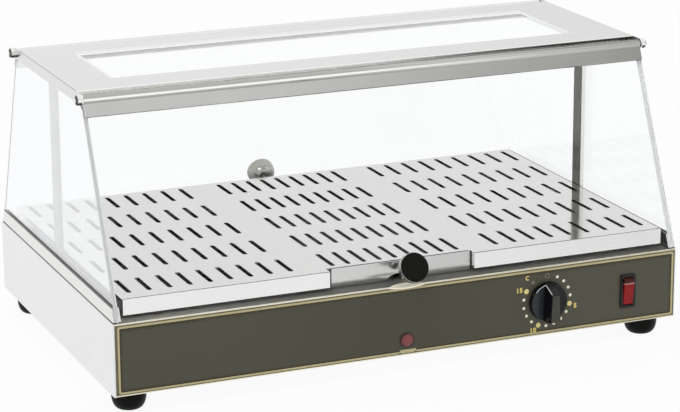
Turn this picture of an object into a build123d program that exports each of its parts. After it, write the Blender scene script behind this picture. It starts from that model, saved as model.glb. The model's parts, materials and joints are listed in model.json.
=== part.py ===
from build123d import *
from math import asin, atan2, cos, degrees, hypot, radians, sin, sqrt
from types import SimpleNamespace
import os

# Heated counter-top display case, in millimetres. +Z is up, the front faces -Y,
# and the origin lies on the table under the middle of the case.

os.makedirs("parts", exist_ok=True)

# Case
case_w = 600.0
case_d = 375.0
case_h = 72.0
sheet = 1.2
sheet_gap = 0.2
bend_r = 1.0
edge_return = 1.6
shelf_w = 42.0
ledge_d = 30.0
sill_w = 34.0
film_t = 0.3
film_margin = 1.5
scoop_w = 40.0
scoop_d = 8.0
scoop_drop = 2.4

# Feet
foot_h = 22.0
foot_top_r = 16.8
foot_flat_r = 9.0
foot_wall_h = 9.0
foot_inset_x = 23.3
foot_inset_y = 29.2
stud_d = 6.0
stud_seat = 8.0
stud_free = 8.0
stud_nut_w = 10.0
stud_nut_h = 5.0

# Screws
snug = 0.05
screw_d = 4.0
screw_head_d = 7.0
screw_head_h = 2.2
screw_l = 10.0
casing_screw_inset = 100.0
casing_screws_across = 4

# Heat well, its element and the thermostat bulb
well_side = 62.0
well_end = 57.5
well_depth = 25.0
well_rim = 12.0
element_d = 6.5
element_runs = 4
element_side_room = 46.0
element_end_room = 12.0
element_rise = 11.0
element_free = 16.0
bracket_t = 2.0
bracket_count = 3
bracket_inset = 48.0
bulb_d = 6.0
bulb_l = 80.0
bulb_from_dial = 36.7
bulb_clip_w = 8.0
bulb_clip_wall = 1.5
capillary_d = 1.6
capillary_bend = 6.0

# Slotted plate
plate_t = 1.5
plate_lip = 16.0
plate_front_setback = 9.8
plate_rear_setback = 18.5
slot_l = 42.0
slot_w = 5.0
slot_rows = 5
slot_front_margin = 16.7
slot_rear_margin = 8.0
slots_across = 9
side_slot_pitch = 20.5
side_slot_inset = 94.3
middle_slot_pitch = 16.6
support_flange = 12.0
support_inset = 1.0
support_end = 38.0

# Water drawer
drawer_w = 152.6
drawer_setback = 8.0
drawer_play = 0.7
drawer_lift = 1.0
drawer_drop = 0.4
tray_w = 138.0
tray_l = 300.0
tray_wall = 1.0
finger_room = 20.0
finger_w = 27.0
finger_h = 6.4
finger_in = 18.0
tray_head = 1.5
slide_gap = 0.3
runner_leg = 9.0

# Rails, side panes and posts
glass_t = 4.0
rail_inset = 1.4
rail_h = 14.5
rail_outer_t = 1.8
rail_inner_t = 1.2
rail_web = 1.5
rail_screw_d = 3.0
rail_screw_head_d = 5.5
rail_screw_inset = 67.5
pane_play = 0.2
post_t = 4.0
post_d = 18.0
post_play = 0.4
post_foot = 25.0
post_head = 17.0
post_screw_pitch = 11.0
plate_play = 0.5

# Top frame and its window
house_h = 201.8
house_shift = 6.0
top_d = 194.0
side_flange = 11.0
end_flange = 8.0
window_side = 47.0
window_front = 38.0
window_rear = 32.0
window_lip = 1.8
glass_lap = 9.0
glass_play = 0.5

# Doors and hinges
hinge_out = 14.5
hinge_drop = 5.4
ear_r = 5.2
ear_play = 0.8
rod_d = 5.0
rod_play = 0.08
cap_d = 10.0
cap_l = 6.0
cap_seat = 4.0
cap_taper = 45.0
barrel_r = 4.2
leaf_t = 1.0
leaf_out = 2.4
strip_h = 17.0
strip_web = 5.0
pane_inset = 0.5
door_over = 5.0
door_lift = 1.5
seal_gap = 1.2
front_knob_up = 14.5
rear_knob_up = 10.5
knob_d = 30.0
knob_l = 22.0
knob_neck_d = 10.0
knob_neck_l = 4.0
knob_bowl_l = 13.0
knob_edge_r = 2.5
knob_screw_d = 5.0
knob_screw_head_d = 9.0
knob_screw_head_h = 3.0
knob_screw_grip = 14.0
washer_d = 12.0
washer_t = 1.0

# Thermostat and dial
dial_from_end = 146.9
dial_up = 35.8
dial_d = 40.5
dial_skirt_h = 5.0
dial_taper = 10.0
dial_gap = 1.0
dial_hollow = 3.2
dial_rim = 2.3
dial_boss_d = 12.0
grip_w = 13.4
grip_h = 14.0
grip_taper = 5.0
grip_tip_w = 10.0
grip_peak = 18.6
grip_tail = 18.6
grip_top = 11.0
grip_edge_r = 0.8
spindle_d = 6.0
spindle_in_dial = 11.0
spindle_in_body = 16.0
thermostat_w = 34.0
thermostat_l = 28.0
thermostat_bush_d = 10.0
thermostat_screw_pitch = 28.0

# Rocker switch
switch_from_end = 55.8
switch_up = 34.5
bezel_w = 16.5
bezel_h = 35.0
bezel_t = 2.0
bezel_r = 1.8
switch_wall = 1.2
switch_step = 1.3
switch_l = 22.0
rocker_play = 0.3
rocker_axis_in = 3.0
rocker_front = 7.0
rocker_back = 3.5
rocker_tilt = 7.0
rocker_pin_d = 3.0
rocker_pin_l = 0.9
rocker_edge_r = 0.6

# Pilot lamp
lamp_off_centre = 0.0
lamp_up = 15.7
lamp_bezel_d = 14.6
lamp_bezel_t = 1.6
lamp_barrel_d = 10.0
lamp_barrel_l = 24.0
lens_d = 11.6
lens_seat = 1.0
lens_rise = 2.2
lamp_nut_w = 14.0
lamp_nut_t = 4.0

# Cord entry
gland_from_end = 100.0
gland_up = 26.0
gland_d = 16.0
gland_hex_w = 20.0
gland_hex_t = 5.0
gland_dome_d = 18.0
gland_dome_l = 9.0
gland_taper = 15.0
gland_bore_d = 8.0
gland_thread_l = 10.0
gland_nut_w = 21.0
gland_nut_t = 4.0
terminal_w = 44.0
terminal_d = 18.0
terminal_h = 16.0
terminal_in = 45.0
terminal_ways = 3
terminal_way_d = 4.5
terminal_way_up = 12.0
terminal_screw_pitch = 26.0

# Levels and limits worked out from the sizes above
half_w = case_w / 2
half_d = case_d / 2
base_z = foot_h
deck_z = base_z + case_h
sill_z = base_z + sheet
frame_z = deck_z - 2 * sheet
face_y = -half_d - film_t
inner_y = half_d - sheet
sill_x = half_w - sill_w - sheet_gap
fascia_x = half_w - edge_return - sheet_gap
shelf_y = half_d - ledge_d - sheet_gap
well_x = half_w - well_side
well_y = half_d - well_end

rail_x = half_w - rail_inset
pane_x = rail_x - rail_outer_t - pane_play
rail_in_x = pane_x - glass_t - pane_play
post_x = rail_in_x - rail_inner_t - post_play
plate_x = post_x - post_t - plate_play
plate_front = -half_d + plate_front_setback
plate_rear = half_d - plate_rear_setback
plate_z = deck_z + post_t + post_play + plate_lip
plate_under = plate_z - plate_t

top_z = deck_z + house_h
top_x = pane_x + pane_play + sheet
top_under = top_z - sheet
hinge_z = top_z - hinge_drop
window_glass_z = top_z - window_lip
door_x = top_x - sheet - ear_play
pane_out = leaf_out - leaf_t
pane_in = pane_out - glass_t
seal_n = pane_in - leaf_t - seal_gap

dial_x = half_w - dial_from_end
dial_z = base_z + dial_up
switch_x = half_w - switch_from_end
switch_z = base_z + switch_up
lamp_x = lamp_off_centre
lamp_z = base_z + lamp_up
gland_x = half_w - gland_from_end
gland_z = base_z + gland_up


def keep(piece, name):
    """Label a finished piece and write it."""
    piece.part.label = name
    export_step(piece.part, f"parts/{name}.step")


def keep_pair(piece, name):
    """Write a right-hand piece and its left-hand mirror image."""
    keep(piece, f"{name}_right")
    with BuildPart() as twin:
        mirror(piece.part, about=Plane.YZ)
    keep(twin, f"{name}_left")


def block(x, y, z, mode=Mode.ADD):
    """Box between two limits along each axis."""
    low = tuple(min(pair) for pair in (x, y, z))
    size = tuple(abs(pair[1] - pair[0]) for pair in (x, y, z))
    with Locations(low):
        Box(*size, align=(Align.MIN, Align.MIN, Align.MIN), mode=mode)


def drill(places, diameter, depth):
    """Round holes that start at each place and follow its z direction."""
    with Locations(*places):
        Cylinder(
            diameter / 2,
            depth,
            align=(Align.CENTER, Align.CENTER, Align.MIN),
            mode=Mode.SUBTRACT,
        )


def upright(x, y, z):
    """Place that looks up from a point."""
    return Plane(origin=(x, y, z), x_dir=(1, 0, 0), z_dir=(0, 0, 1))


def facing_front(x, y, z):
    """Place on the front of the case, looking out at the user with Z upward."""
    return Plane(origin=(x, y, z), x_dir=(1, 0, 0), z_dir=(0, -1, 0))


def screw_group(name, places, diameter, length, head_d, head_h):
    """Round-headed screws: each place lies under the head and looks towards the tip."""
    with BuildPart() as screws:
        for place in places:
            with BuildSketch(place):
                Circle(diameter / 2)
            extrude(amount=length)
            with BuildSketch(place):
                Circle(head_d / 2)
            extrude(amount=-head_h)
    keep(screws, name)


def nut_group(name, places, diameter, across, thickness):
    """Hexagon nuts: each place lies on the seat and looks away from it."""
    with BuildPart() as nuts:
        for place in places:
            with BuildSketch(place):
                RegularPolygon(across / 2, 6, major_radius=False)
                Circle(diameter / 2 + snug, mode=Mode.SUBTRACT)
            extrude(amount=thickness)
    keep(nuts, name)


# Fastener places
foot_places = [
    (side * (half_w - foot_inset_x), end * (half_d - foot_inset_y)) for end in (-1, 1) for side in (-1, 1)
]
stud_places = [upright(x, y, foot_h - stud_seat) for x, y in foot_places]
casing_screw_x = half_w - casing_screw_inset
casing_screw_pitch = 2 * casing_screw_x / (casing_screws_across - 1)
casing_places = [
    upright(-casing_screw_x + index * casing_screw_pitch, side * (half_d - sill_w / 2), base_z)
    for side in (-1, 1)
    for index in range(casing_screws_across)
]
rail_screw_pitch = half_d - rail_screw_inset
rail_screw_places = [
    upright(side * (pane_x - glass_t / 2), house_shift + step * rail_screw_pitch, frame_z)
    for side in (-1, 1)
    for step in (-1, 0, 1)
]
post_screw_x = post_x - post_t - post_foot / 2
post_screw_places = [
    Plane(
        origin=(side * (post_screw_x + step * post_screw_pitch / 2), house_shift, deck_z + post_t),
        x_dir=(1, 0, 0),
        z_dir=(0, 0, -1),
    )
    for side in (-1, 1)
    for step in (-1, 1)
]
terminal_y = inner_y - terminal_in
terminal_screw_places = [
    upright(gland_x + step * terminal_screw_pitch / 2, terminal_y, base_z) for step in (-1, 1)
]
thermostat_screw_places = [
    Plane(
        origin=(dial_x + step * thermostat_screw_pitch / 2, face_y, dial_z),
        x_dir=(1, 0, 0),
        z_dir=(0, 1, 0),
    )
    for step in (-1, 1)
]
dial_face = facing_front(dial_x, face_y, dial_z)
switch_face = facing_front(switch_x, face_y, switch_z)
lamp_face = facing_front(lamp_x, face_y, lamp_z)
switch_hole_w = bezel_w - 2 * switch_step
switch_hole_h = bezel_h - 2 * switch_step


def cut_panel_openings():
    """Cut-outs for the dial spindle, its screws, the switch and the lamp."""
    depth = film_t + sheet
    drill([dial_face.offset(-depth)], thermostat_bush_d + 2 * sheet_gap, depth)
    drill(thermostat_screw_places, screw_d + 2 * snug, depth)
    drill([lamp_face.offset(-depth)], lamp_barrel_d + 2 * sheet_gap, depth)
    width = switch_hole_w / 2 + sheet_gap
    height = switch_hole_h / 2 + sheet_gap
    block(
        (switch_x - width, switch_x + width),
        (face_y, face_y + depth),
        (switch_z - height, switch_z + height),
        mode=Mode.SUBTRACT,
    )


# Side panels: wall, returns at both ends, shelf along the top and sill along the bottom
with BuildPart() as side_panel:
    block((half_w - sheet, half_w), (-half_d, half_d), (base_z, deck_z))
    for end in (-1, 1):
        block((half_w - edge_return, half_w), (end * half_d, end * inner_y), (base_z, deck_z))
    block((half_w - shelf_w, half_w), (-shelf_y, shelf_y), (deck_z - sheet, deck_z))
    sill_y = inner_y - sheet_gap
    block((half_w - sill_w, half_w), (-sill_y, sill_y), (sill_z, sill_z + sheet))
    outer_edges = side_panel.faces().sort_by(Axis.X)[-1].edges()
    fillet(outer_edges.filter_by(Axis.Z) + outer_edges.sort_by(Axis.Z)[-1:], bend_r)
    drill(stud_places, stud_d + 2 * snug, case_h / 2)
    drill(rail_screw_places, rail_screw_d + 2 * snug, 2 * sheet)
    drill(post_screw_places, screw_d + 2 * snug, post_t + 2 * sheet)
keep_pair(side_panel, "side_panel")


def end_sheet(side):
    """Front or rear sheet of the case: wall, top ledge and bottom sill."""
    with BuildPart() as panel:
        wall = (side * half_d, side * inner_y)
        block((-fascia_x, fascia_x), wall, (base_z, deck_z))
        ledge = (side * half_d, side * (half_d - ledge_d))
        block((-fascia_x, fascia_x), ledge, (deck_z - sheet, deck_z))
        sill = (side * half_d, side * (half_d - sill_w))
        block((-sill_x, sill_x), sill, (sill_z, sill_z + sheet))
        bends = panel.edges().filter_by(Axis.X).group_by(Axis.Y)[0 if side < 0 else -1]
        fillet(bends, bend_r)
        drill(casing_places, screw_d + 2 * snug, 2 * sheet)
    return panel


# Finger scoop: a shallow trough that runs down through the front edge of the ledge
scoop_x = scoop_w / 2
ramp_y = -half_d + scoop_d
scoop_r = (scoop_x**2 + scoop_drop**2) / (2 * scoop_drop)
scoop_slope = atan2(scoop_drop, ramp_y - face_y)
scoop_axis = Plane(
    origin=(0, face_y - scoop_r * sin(scoop_slope), deck_z - scoop_drop + scoop_r * cos(scoop_slope)),
    x_dir=(1, 0, 0),
    z_dir=(0, cos(scoop_slope), sin(scoop_slope)),
)


def scoop_trough(radius, mode):
    """Round trough along the scoop, long enough to leave the ledge at both ends."""
    with Locations(scoop_axis):
        Cylinder(radius, 4 * scoop_d, mode=mode)


with BuildPart() as scoop_bowl:
    block((-scoop_x, scoop_x), (-half_d, ramp_y), (deck_z - scoop_drop - 2 * sheet, deck_z))
    scoop_trough(scoop_r + sheet, Mode.INTERSECT)

# Fascia: the front sheet, with the control openings and the scoop
front_sheet = end_sheet(-1)
with BuildPart() as fascia:
    add(front_sheet.part)
    cut_panel_openings()
    add(scoop_bowl.part)
    scoop_trough(scoop_r, Mode.SUBTRACT)
keep(fascia, "fascia")

# Printed film on the fascia, cut down around the scoop
with BuildPart() as fascia_film:
    block(
        (-fascia_x + sheet_gap, fascia_x - sheet_gap),
        (face_y, -half_d),
        (base_z + film_margin, deck_z - film_margin),
    )
    cut_panel_openings()
    scoop_trough(scoop_r + film_margin, Mode.SUBTRACT)
keep(fascia_film, "fascia_film")

# Rear sheet with the cord entry
gland_face = Plane(origin=(gland_x, half_d, gland_z), x_dir=(-1, 0, 0), z_dir=(0, 1, 0))
rear_sheet = end_sheet(1)
with BuildPart() as rear_panel:
    add(rear_sheet.part)
    drill([gland_face.offset(-sheet)], gland_d + 2 * sheet_gap, sheet)
keep(rear_panel, "rear_panel")

# Bottom pan between the walls, under the sills
with BuildPart() as bottom_pan:
    pan_x = half_w - sheet - sheet_gap
    pan_y = inner_y - sheet_gap
    block((-pan_x, pan_x), (-pan_y, pan_y), (base_z, sill_z))
    drill(stud_places, stud_d + 2 * snug, case_h / 2)
    drill(casing_places, screw_d + 2 * snug, sheet)
    drill(terminal_screw_places, screw_d + 2 * snug, sheet)
keep(bottom_pan, "bottom_pan")

# Deck frame under the shelves and ledges, with the heat well's opening
with BuildPart() as deck_frame:
    deck_x = half_w - sheet - sheet_gap
    deck_y = inner_y - sheet_gap
    block((-deck_x, deck_x), (-deck_y, deck_y), (frame_z, frame_z + sheet))
    opening_x = well_x + sheet + sheet_gap
    opening_y = well_y + sheet + sheet_gap
    block((-opening_x, opening_x), (-opening_y, opening_y), (frame_z, frame_z + sheet), Mode.SUBTRACT)
    relief_x = scoop_x + sheet + sheet_gap
    relief_y = (-half_d, ramp_y + sheet_gap)
    block((-relief_x, relief_x), relief_y, (frame_z, frame_z + sheet), mode=Mode.SUBTRACT)
    drill(rail_screw_places, rail_screw_d + 2 * snug, sheet)
    drill(post_screw_places, screw_d + 2 * snug, post_t + 2 * sheet)
keep(deck_frame, "deck_frame")

# Feet on moulded-in studs
with BuildPart() as feet:
    for x, y in foot_places:
        with BuildSketch(facing_front(x, y, 0)):
            with BuildLine():
                Polyline(
                    (foot_top_r, foot_h - foot_wall_h),
                    (foot_top_r, foot_h),
                    (0, foot_h),
                    (0, 0),
                    (foot_flat_r, 0),
                )
                EllipticalCenterArc(
                    (foot_flat_r, foot_h - foot_wall_h),
                    foot_top_r - foot_flat_r,
                    foot_h - foot_wall_h,
                    start_angle=270,
                    arc_size=90,
                )
            make_face()
        revolve(axis=Axis((x, y, 0), (0, 0, 1)))
    drill(stud_places, stud_d + 2 * snug, stud_seat)
keep(feet, "feet")

with BuildPart() as foot_studs:
    for place in stud_places:
        with BuildSketch(place):
            Circle(stud_d / 2)
        extrude(amount=stud_seat + 2 * sheet + stud_free)
keep(foot_studs, "foot_studs")

nut_seats = [upright(x, y, sill_z + sheet) for x, y in foot_places]
nut_group("foot_nuts", nut_seats, stud_d, stud_nut_w, stud_nut_h)

screw_group(
    "case_screws",
    casing_places + terminal_screw_places + post_screw_places + thermostat_screw_places,
    screw_d,
    screw_l,
    screw_head_d,
    screw_head_h,
)

# Heat well: a pan that drops into the deck frame and hangs by its rim
well_floor = deck_z - well_depth
element_pitch = 2 * (well_y - element_side_room) / (element_runs - 1)
element_x = well_x - element_end_room - element_pitch / 2
element_z = well_floor + sheet + element_rise
run_ys = [(index - (element_runs - 1) / 2) * element_pitch for index in range(element_runs)]
with BuildPart() as heat_well:
    rim_x = well_x + well_rim
    rim_y = well_y + well_rim
    block((-rim_x, rim_x), (-rim_y, rim_y), (deck_z - sheet, deck_z))
    wall_x = well_x + sheet
    wall_y = well_y + sheet
    block((-wall_x, wall_x), (-wall_y, wall_y), (well_floor, deck_z))
    block((-well_x, well_x), (-well_y, well_y), (well_floor + sheet, deck_z), mode=Mode.SUBTRACT)
    entries = [
        Plane(origin=(well_x, y, element_z), x_dir=(0, 1, 0), z_dir=(1, 0, 0))
        for y in (run_ys[0], run_ys[-1])
    ]
    drill(entries, element_d + 2 * snug, sheet)
keep(heat_well, "heat_well")

# Tubular element: a flat serpentine whose two ends leave through the right wall
with BuildPart() as heating_element:
    end_x = well_x + element_free
    with BuildLine() as serpentine:
        Line((end_x, run_ys[0], element_z), (element_x, run_ys[0], element_z))
        for index in range(element_runs - 1):
            turn = -1 if index % 2 == 0 else 1
            near, far = run_ys[index], run_ys[index + 1]
            Line((-turn * element_x, near, element_z), (turn * element_x, near, element_z))
            ThreePointArc(
                (turn * element_x, near, element_z),
                (turn * (element_x + element_pitch / 2), (near + far) / 2, element_z),
                (turn * element_x, far, element_z),
            )
        last = -1 if element_runs % 2 else 1
        Line((-last * element_x, run_ys[-1], element_z), (element_x, run_ys[-1], element_z))
        Line((element_x, run_ys[-1], element_z), (end_x, run_ys[-1], element_z))
    with BuildSketch(Plane(origin=(end_x, run_ys[0], element_z), x_dir=(0, 1, 0), z_dir=(-1, 0, 0))):
        Circle(element_d / 2)
    sweep(path=serpentine.wires()[0])
keep(heating_element, "heating_element")

# Notched brackets that hold the element off the floor of the well
bracket_pitch = 2 * (element_x - bracket_inset) / (bracket_count - 1)
with BuildPart() as element_brackets:
    for index in range(bracket_count):
        x = (index - (bracket_count - 1) / 2) * bracket_pitch
        reach = run_ys[-1] + element_d
        floor = well_floor + sheet
        block((x - bracket_t / 2, x + bracket_t / 2), (-reach, reach), (floor, element_z + element_d / 2))
        for y in run_ys:
            half = element_d / 2 + snug
            across = Plane(origin=(x - bracket_t / 2, y, element_z), x_dir=(0, 1, 0), z_dir=(1, 0, 0))
            drill([across], 2 * half, bracket_t)
            block(
                (x - bracket_t / 2, x + bracket_t / 2),
                (y - half, y + half),
                (element_z, element_z + element_d),
                mode=Mode.SUBTRACT,
            )
keep(element_brackets, "element_brackets")

# Slotted plate with folded lips and a notch for the drawer
notch_x = drawer_w / 2 + drawer_play
notch_d = drawer_setback + 2 * sheet
slots_front = plate_front + slot_front_margin
slots_rear = plate_rear - slot_rear_margin
slot_row_pitch = (slots_rear - slots_front - slot_l) / (slot_rows - 1)
with BuildPart() as slotted_plate:
    lip_z = plate_z - plate_lip
    block((-plate_x, plate_x), (plate_front, plate_rear), (lip_z, plate_z))
    bends = slotted_plate.faces().sort_by(Axis.Z)[-1].edges()
    fillet(bends, bend_r)
    inner_x = plate_x - plate_t
    inner_lip = (plate_front + plate_t, plate_rear - plate_t)
    block((-inner_x, inner_x), inner_lip, (lip_z, plate_under), mode=Mode.SUBTRACT)
    notch_y = (plate_front, plate_front + notch_d)
    cheek_x = notch_x + plate_t
    block((-cheek_x, cheek_x), (inner_lip[0], notch_y[1]), (lip_z, plate_under))
    block((-notch_x, notch_x), notch_y, (lip_z, plate_z), mode=Mode.SUBTRACT)
    side_slot_centre = plate_x - side_slot_inset
    with BuildSketch(Plane.XY.offset(plate_z)):
        for centre, pitch in (
            (-side_slot_centre, side_slot_pitch),
            (0, middle_slot_pitch),
            (side_slot_centre, side_slot_pitch),
        ):
            with Locations((centre, (slots_front + slots_rear) / 2)):
                with GridLocations(pitch, slot_row_pitch, slots_across, slot_rows):
                    SlotOverall(slot_l, slot_w, rotation=90)
    extrude(amount=-plate_t, mode=Mode.SUBTRACT)
keep(slotted_plate, "slotted_plate")

# Channel strips on the shelves that carry the plate, in front of and behind each post
with BuildPart() as plate_supports:
    post_room = post_d / 2 + support_flange / 2
    far_y = half_d - support_end
    support_x = half_w - shelf_w + support_inset
    spans = ((-far_y, house_shift - post_room), (house_shift + post_room, far_y))
    for side in (-1, 1):
        across = (side * support_x, side * (support_x + support_flange))
        for span in spans:
            block((side * support_x, side * (support_x + sheet)), span, (deck_z, plate_under))
            block(across, span, (deck_z, deck_z + sheet))
            block(across, span, (plate_under - sheet, plate_under))
keep(plate_supports, "plate_supports")

# Runners across the well: a leg under the tray and a wall beside it, up to the plate
tray_x = tray_w / 2
tray_front = plate_front + drawer_setback + sheet
tray_z = deck_z + sheet + slide_gap
with BuildPart() as drawer_runners:
    runner_y = well_y + well_rim
    for side in (-1, 1):
        wall_in = side * (tray_x + slide_gap)
        wall_out = side * (tray_x + slide_gap + sheet)
        block((wall_in, wall_out), (-runner_y, runner_y), (deck_z, plate_under))
        block((side * (tray_x - runner_leg), wall_out), (-runner_y, runner_y), (deck_z, deck_z + sheet))
keep(drawer_runners, "drawer_runners")

# Water drawer: floor sheet, rim and front plate, with a finger notch at the middle of the front
with BuildPart() as drawer_floor:
    block((-tray_x, tray_x), (tray_front, tray_front + tray_l), (tray_z, tray_z + tray_wall))
    notch_in = (tray_front, tray_front + finger_in)
    block((-finger_w / 2, finger_w / 2), notch_in, (tray_z, tray_z + tray_wall), mode=Mode.SUBTRACT)
keep(drawer_floor, "drawer_floor")

with BuildPart() as drawer_rim:
    tray_ys = (tray_front + finger_room, tray_front + tray_l)
    tray_zs = (tray_z + tray_wall, plate_under - tray_head)
    block((-tray_x, tray_x), tray_ys, tray_zs)
    hollow_x = tray_x - tray_wall
    hollow_ys = (tray_ys[0] + tray_wall, tray_ys[1] - tray_wall)
    block((-hollow_x, hollow_x), hollow_ys, tray_zs, mode=Mode.SUBTRACT)
keep(drawer_rim, "drawer_rim")

with BuildPart() as drawer_front:
    front_z = deck_z + drawer_lift
    block((-drawer_w / 2, drawer_w / 2), (tray_front - sheet, tray_front), (front_z, plate_z - drawer_drop))
    with BuildSketch(facing_front(0, tray_front, front_z)):
        Ellipse(finger_w / 2, finger_h)
    extrude(amount=sheet, mode=Mode.SUBTRACT)
keep(drawer_front, "drawer_front")


def door_place(side):
    """Section of a door at its hinge line: x runs down the slope and y outward."""
    hinge_y = house_shift + side * (top_d / 2 + hinge_out)
    run = half_d + door_over - side * hinge_y
    drop = hinge_z - deck_z - door_lift
    reach = hypot(run, drop)
    lean = atan2(run, drop) - asin(pane_out / reach)
    section = Plane(
        origin=(0, hinge_y, hinge_z),
        x_dir=(0, side * sin(lean), -cos(lean)),
        z_dir=(side, 0, 0),
    )
    return SimpleNamespace(
        side=side,
        hinge_y=hinge_y,
        lean=lean,
        section=section,
        length=sqrt(reach**2 - pane_out**2),
        outward=section.y_dir,
    )


front_door = door_place(-1)
rear_door = door_place(1)


def edge_y(door, z):
    """Y of the line that the side panes and rails keep behind a closed door, at a height."""
    return door.hinge_y + door.side * ((hinge_z - z) * sin(door.lean) + seal_n) / cos(door.lean)


def side_outline(low, high):
    """Outline between the two doors' lines from one height to another."""
    return [
        (edge_y(front_door, low), low),
        (edge_y(rear_door, low), low),
        (edge_y(rear_door, high), high),
        (edge_y(front_door, high), high),
    ]


def side_plate(outline, x0, x1):
    """Flat plate across X between two limits, with an outline in Y and Z."""
    with BuildPart() as plate:
        with BuildSketch(Plane.YZ.offset(x0)):
            Polygon(*outline, align=None)
        extrude(amount=x1 - x0)
    return plate.part


# Rails: an outer wall, a web and an inner wall around the foot of each side pane
rail_top = deck_z + rail_h
rail_bar = side_plate(side_outline(deck_z, rail_top), rail_in_x - rail_inner_t, rail_x)
rail_trough = side_plate(side_outline(deck_z + rail_web, rail_top), rail_in_x, rail_x - rail_outer_t)
with BuildPart() as rail:
    add(rail_bar)
    add(rail_trough, mode=Mode.SUBTRACT)
    drill(rail_screw_places, rail_screw_d + 2 * snug, 2 * sheet + rail_web)
keep_pair(rail, "rail")

# Side panes, cut back at the top to stay behind the hinge ears and inside the top frame
shoulder_z = hinge_z - 2 * ear_r
collar_z = top_z - end_flange - pane_play
collar_y = top_d / 2 - sheet - pane_play
front_foot, rear_foot, rear_shoulder, front_shoulder = side_outline(deck_z + rail_web, shoulder_z)
pane_outline = [
    front_foot,
    rear_foot,
    rear_shoulder,
    (house_shift + collar_y, collar_z),
    (house_shift + collar_y, top_under),
    (house_shift - collar_y, top_under),
    (house_shift - collar_y, collar_z),
    front_shoulder,
]
side_glass = side_plate(pane_outline, pane_x - glass_t, pane_x)
with BuildPart() as side_pane:
    add(side_glass)
keep_pair(side_pane, "side_pane")

screw_group(
    "rail_screws",
    rail_screw_places,
    rail_screw_d,
    2 * sheet + rail_web - snug,
    rail_screw_head_d,
    screw_head_h,
)

# Posts: flat bars with a foot on the shelf and a head under the top frame
with BuildPart() as post:
    post_y = (house_shift - post_d / 2, house_shift + post_d / 2)
    inner = post_x - post_t
    block((inner, post_x), post_y, (deck_z, top_under))
    block((inner - post_foot, inner), post_y, (deck_z, deck_z + post_t))
    block((inner - post_head, inner), post_y, (top_under - post_t, top_under))
    drill(post_screw_places, screw_d + 2 * snug, post_t)
keep_pair(post, "post")

# Top frame: a folded sheet with a lipped window and ears for the hinge rods
frame_y = (house_shift - top_d / 2, house_shift + top_d / 2)
window_x = top_x - window_side
window_ys = (frame_y[0] + window_front, frame_y[1] - window_rear)
with BuildPart() as top_frame:
    block((-top_x, top_x), frame_y, (top_z - side_flange, top_z))
    ends = (top_z - side_flange, top_z - end_flange)
    block((-top_x + sheet, top_x - sheet), frame_y, ends, mode=Mode.SUBTRACT)
    inside_y = (frame_y[0] + sheet, frame_y[1] - sheet)
    block((-top_x + sheet, top_x - sheet), inside_y, (top_z - end_flange, top_under), mode=Mode.SUBTRACT)
    lip_x = window_x + sheet
    lip_y = (window_ys[0] - sheet, window_ys[1] + sheet)
    block((-lip_x, lip_x), lip_y, (window_glass_z, top_under))
    block((-window_x, window_x), window_ys, (window_glass_z, top_z), mode=Mode.SUBTRACT)
    outer_bends = top_frame.faces().sort_by(Axis.Z)[-1].outer_wire().edges()
    fillet(outer_bends, bend_r)
    for side in (-1, 1):
        for door in (front_door, rear_door):
            with BuildSketch(Plane.YZ.offset(side * (top_x - sheet))):
                with Locations((door.hinge_y, hinge_z)):
                    Circle(ear_r)
                with Locations(((door.hinge_y + frame_y[door.side > 0]) / 2, hinge_z)):
                    Rectangle(hinge_out, 2 * ear_r)
                with Locations((door.hinge_y, hinge_z)):
                    Circle(rod_d / 2 + snug, mode=Mode.SUBTRACT)
            extrude(amount=side * sheet)
keep(top_frame, "top_frame")

with BuildPart() as window_glass:
    pane_ys = (window_ys[0] - glass_lap, window_ys[1] + glass_lap)
    pane_half = window_x + glass_lap
    block((-pane_half, pane_half), pane_ys, (window_glass_z - glass_t, window_glass_z))
keep(window_glass, "window_glass")

# Ledges that hold the window glass up against its lips
with BuildPart() as glass_ledges:
    glass_z = window_glass_z - glass_t
    for side in (-1, 1):
        edge = pane_ys[side > 0] + side * glass_play
        web = (edge, edge + side * sheet)
        block((-window_x, window_x), web, (glass_z - sheet, top_under))
        block((-window_x, window_x), (edge - side * glass_lap, web[1]), (glass_z - sheet, glass_z))
        block((-window_x, window_x), (edge, edge + side * glass_lap), (top_under - sheet, top_under))
keep(glass_ledges, "glass_ledges")

# Hinge rods through the ears, and the domed caps on their ends
rod_x = top_x + cap_seat
for name, door in (("front", front_door), ("rear", rear_door)):
    with BuildPart() as hinge_rod:
        with BuildSketch(Plane.YZ):
            with Locations((door.hinge_y, hinge_z)):
                Circle(rod_d / 2)
        extrude(amount=rod_x, both=True)
    keep(hinge_rod, f"{name}_hinge_rod")

with BuildPart() as hinge_caps:
    for side in (-1, 1):
        for door in (front_door, rear_door):
            seat = Plane(
                origin=(side * top_x, door.hinge_y, hinge_z),
                x_dir=(0, 1, 0),
                z_dir=(side, 0, 0),
            )
            with BuildSketch(seat):
                Circle(cap_d / 2)
                Circle(rod_d / 2 + snug, mode=Mode.SUBTRACT)
            extrude(amount=cap_seat)
            with BuildSketch(seat.offset(cap_seat)):
                Circle(cap_d / 2)
            extrude(amount=cap_l - cap_seat, taper=cap_taper)
keep(hinge_caps, "hinge_caps")


def knob_place(door, up):
    """Place of a knob on the outer face of a door's pane, looking outward."""
    root = door.section.from_local_coords((door.length - up, pane_out, 0))
    return Plane(origin=root, x_dir=(1, 0, 0), z_dir=door.outward)


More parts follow.
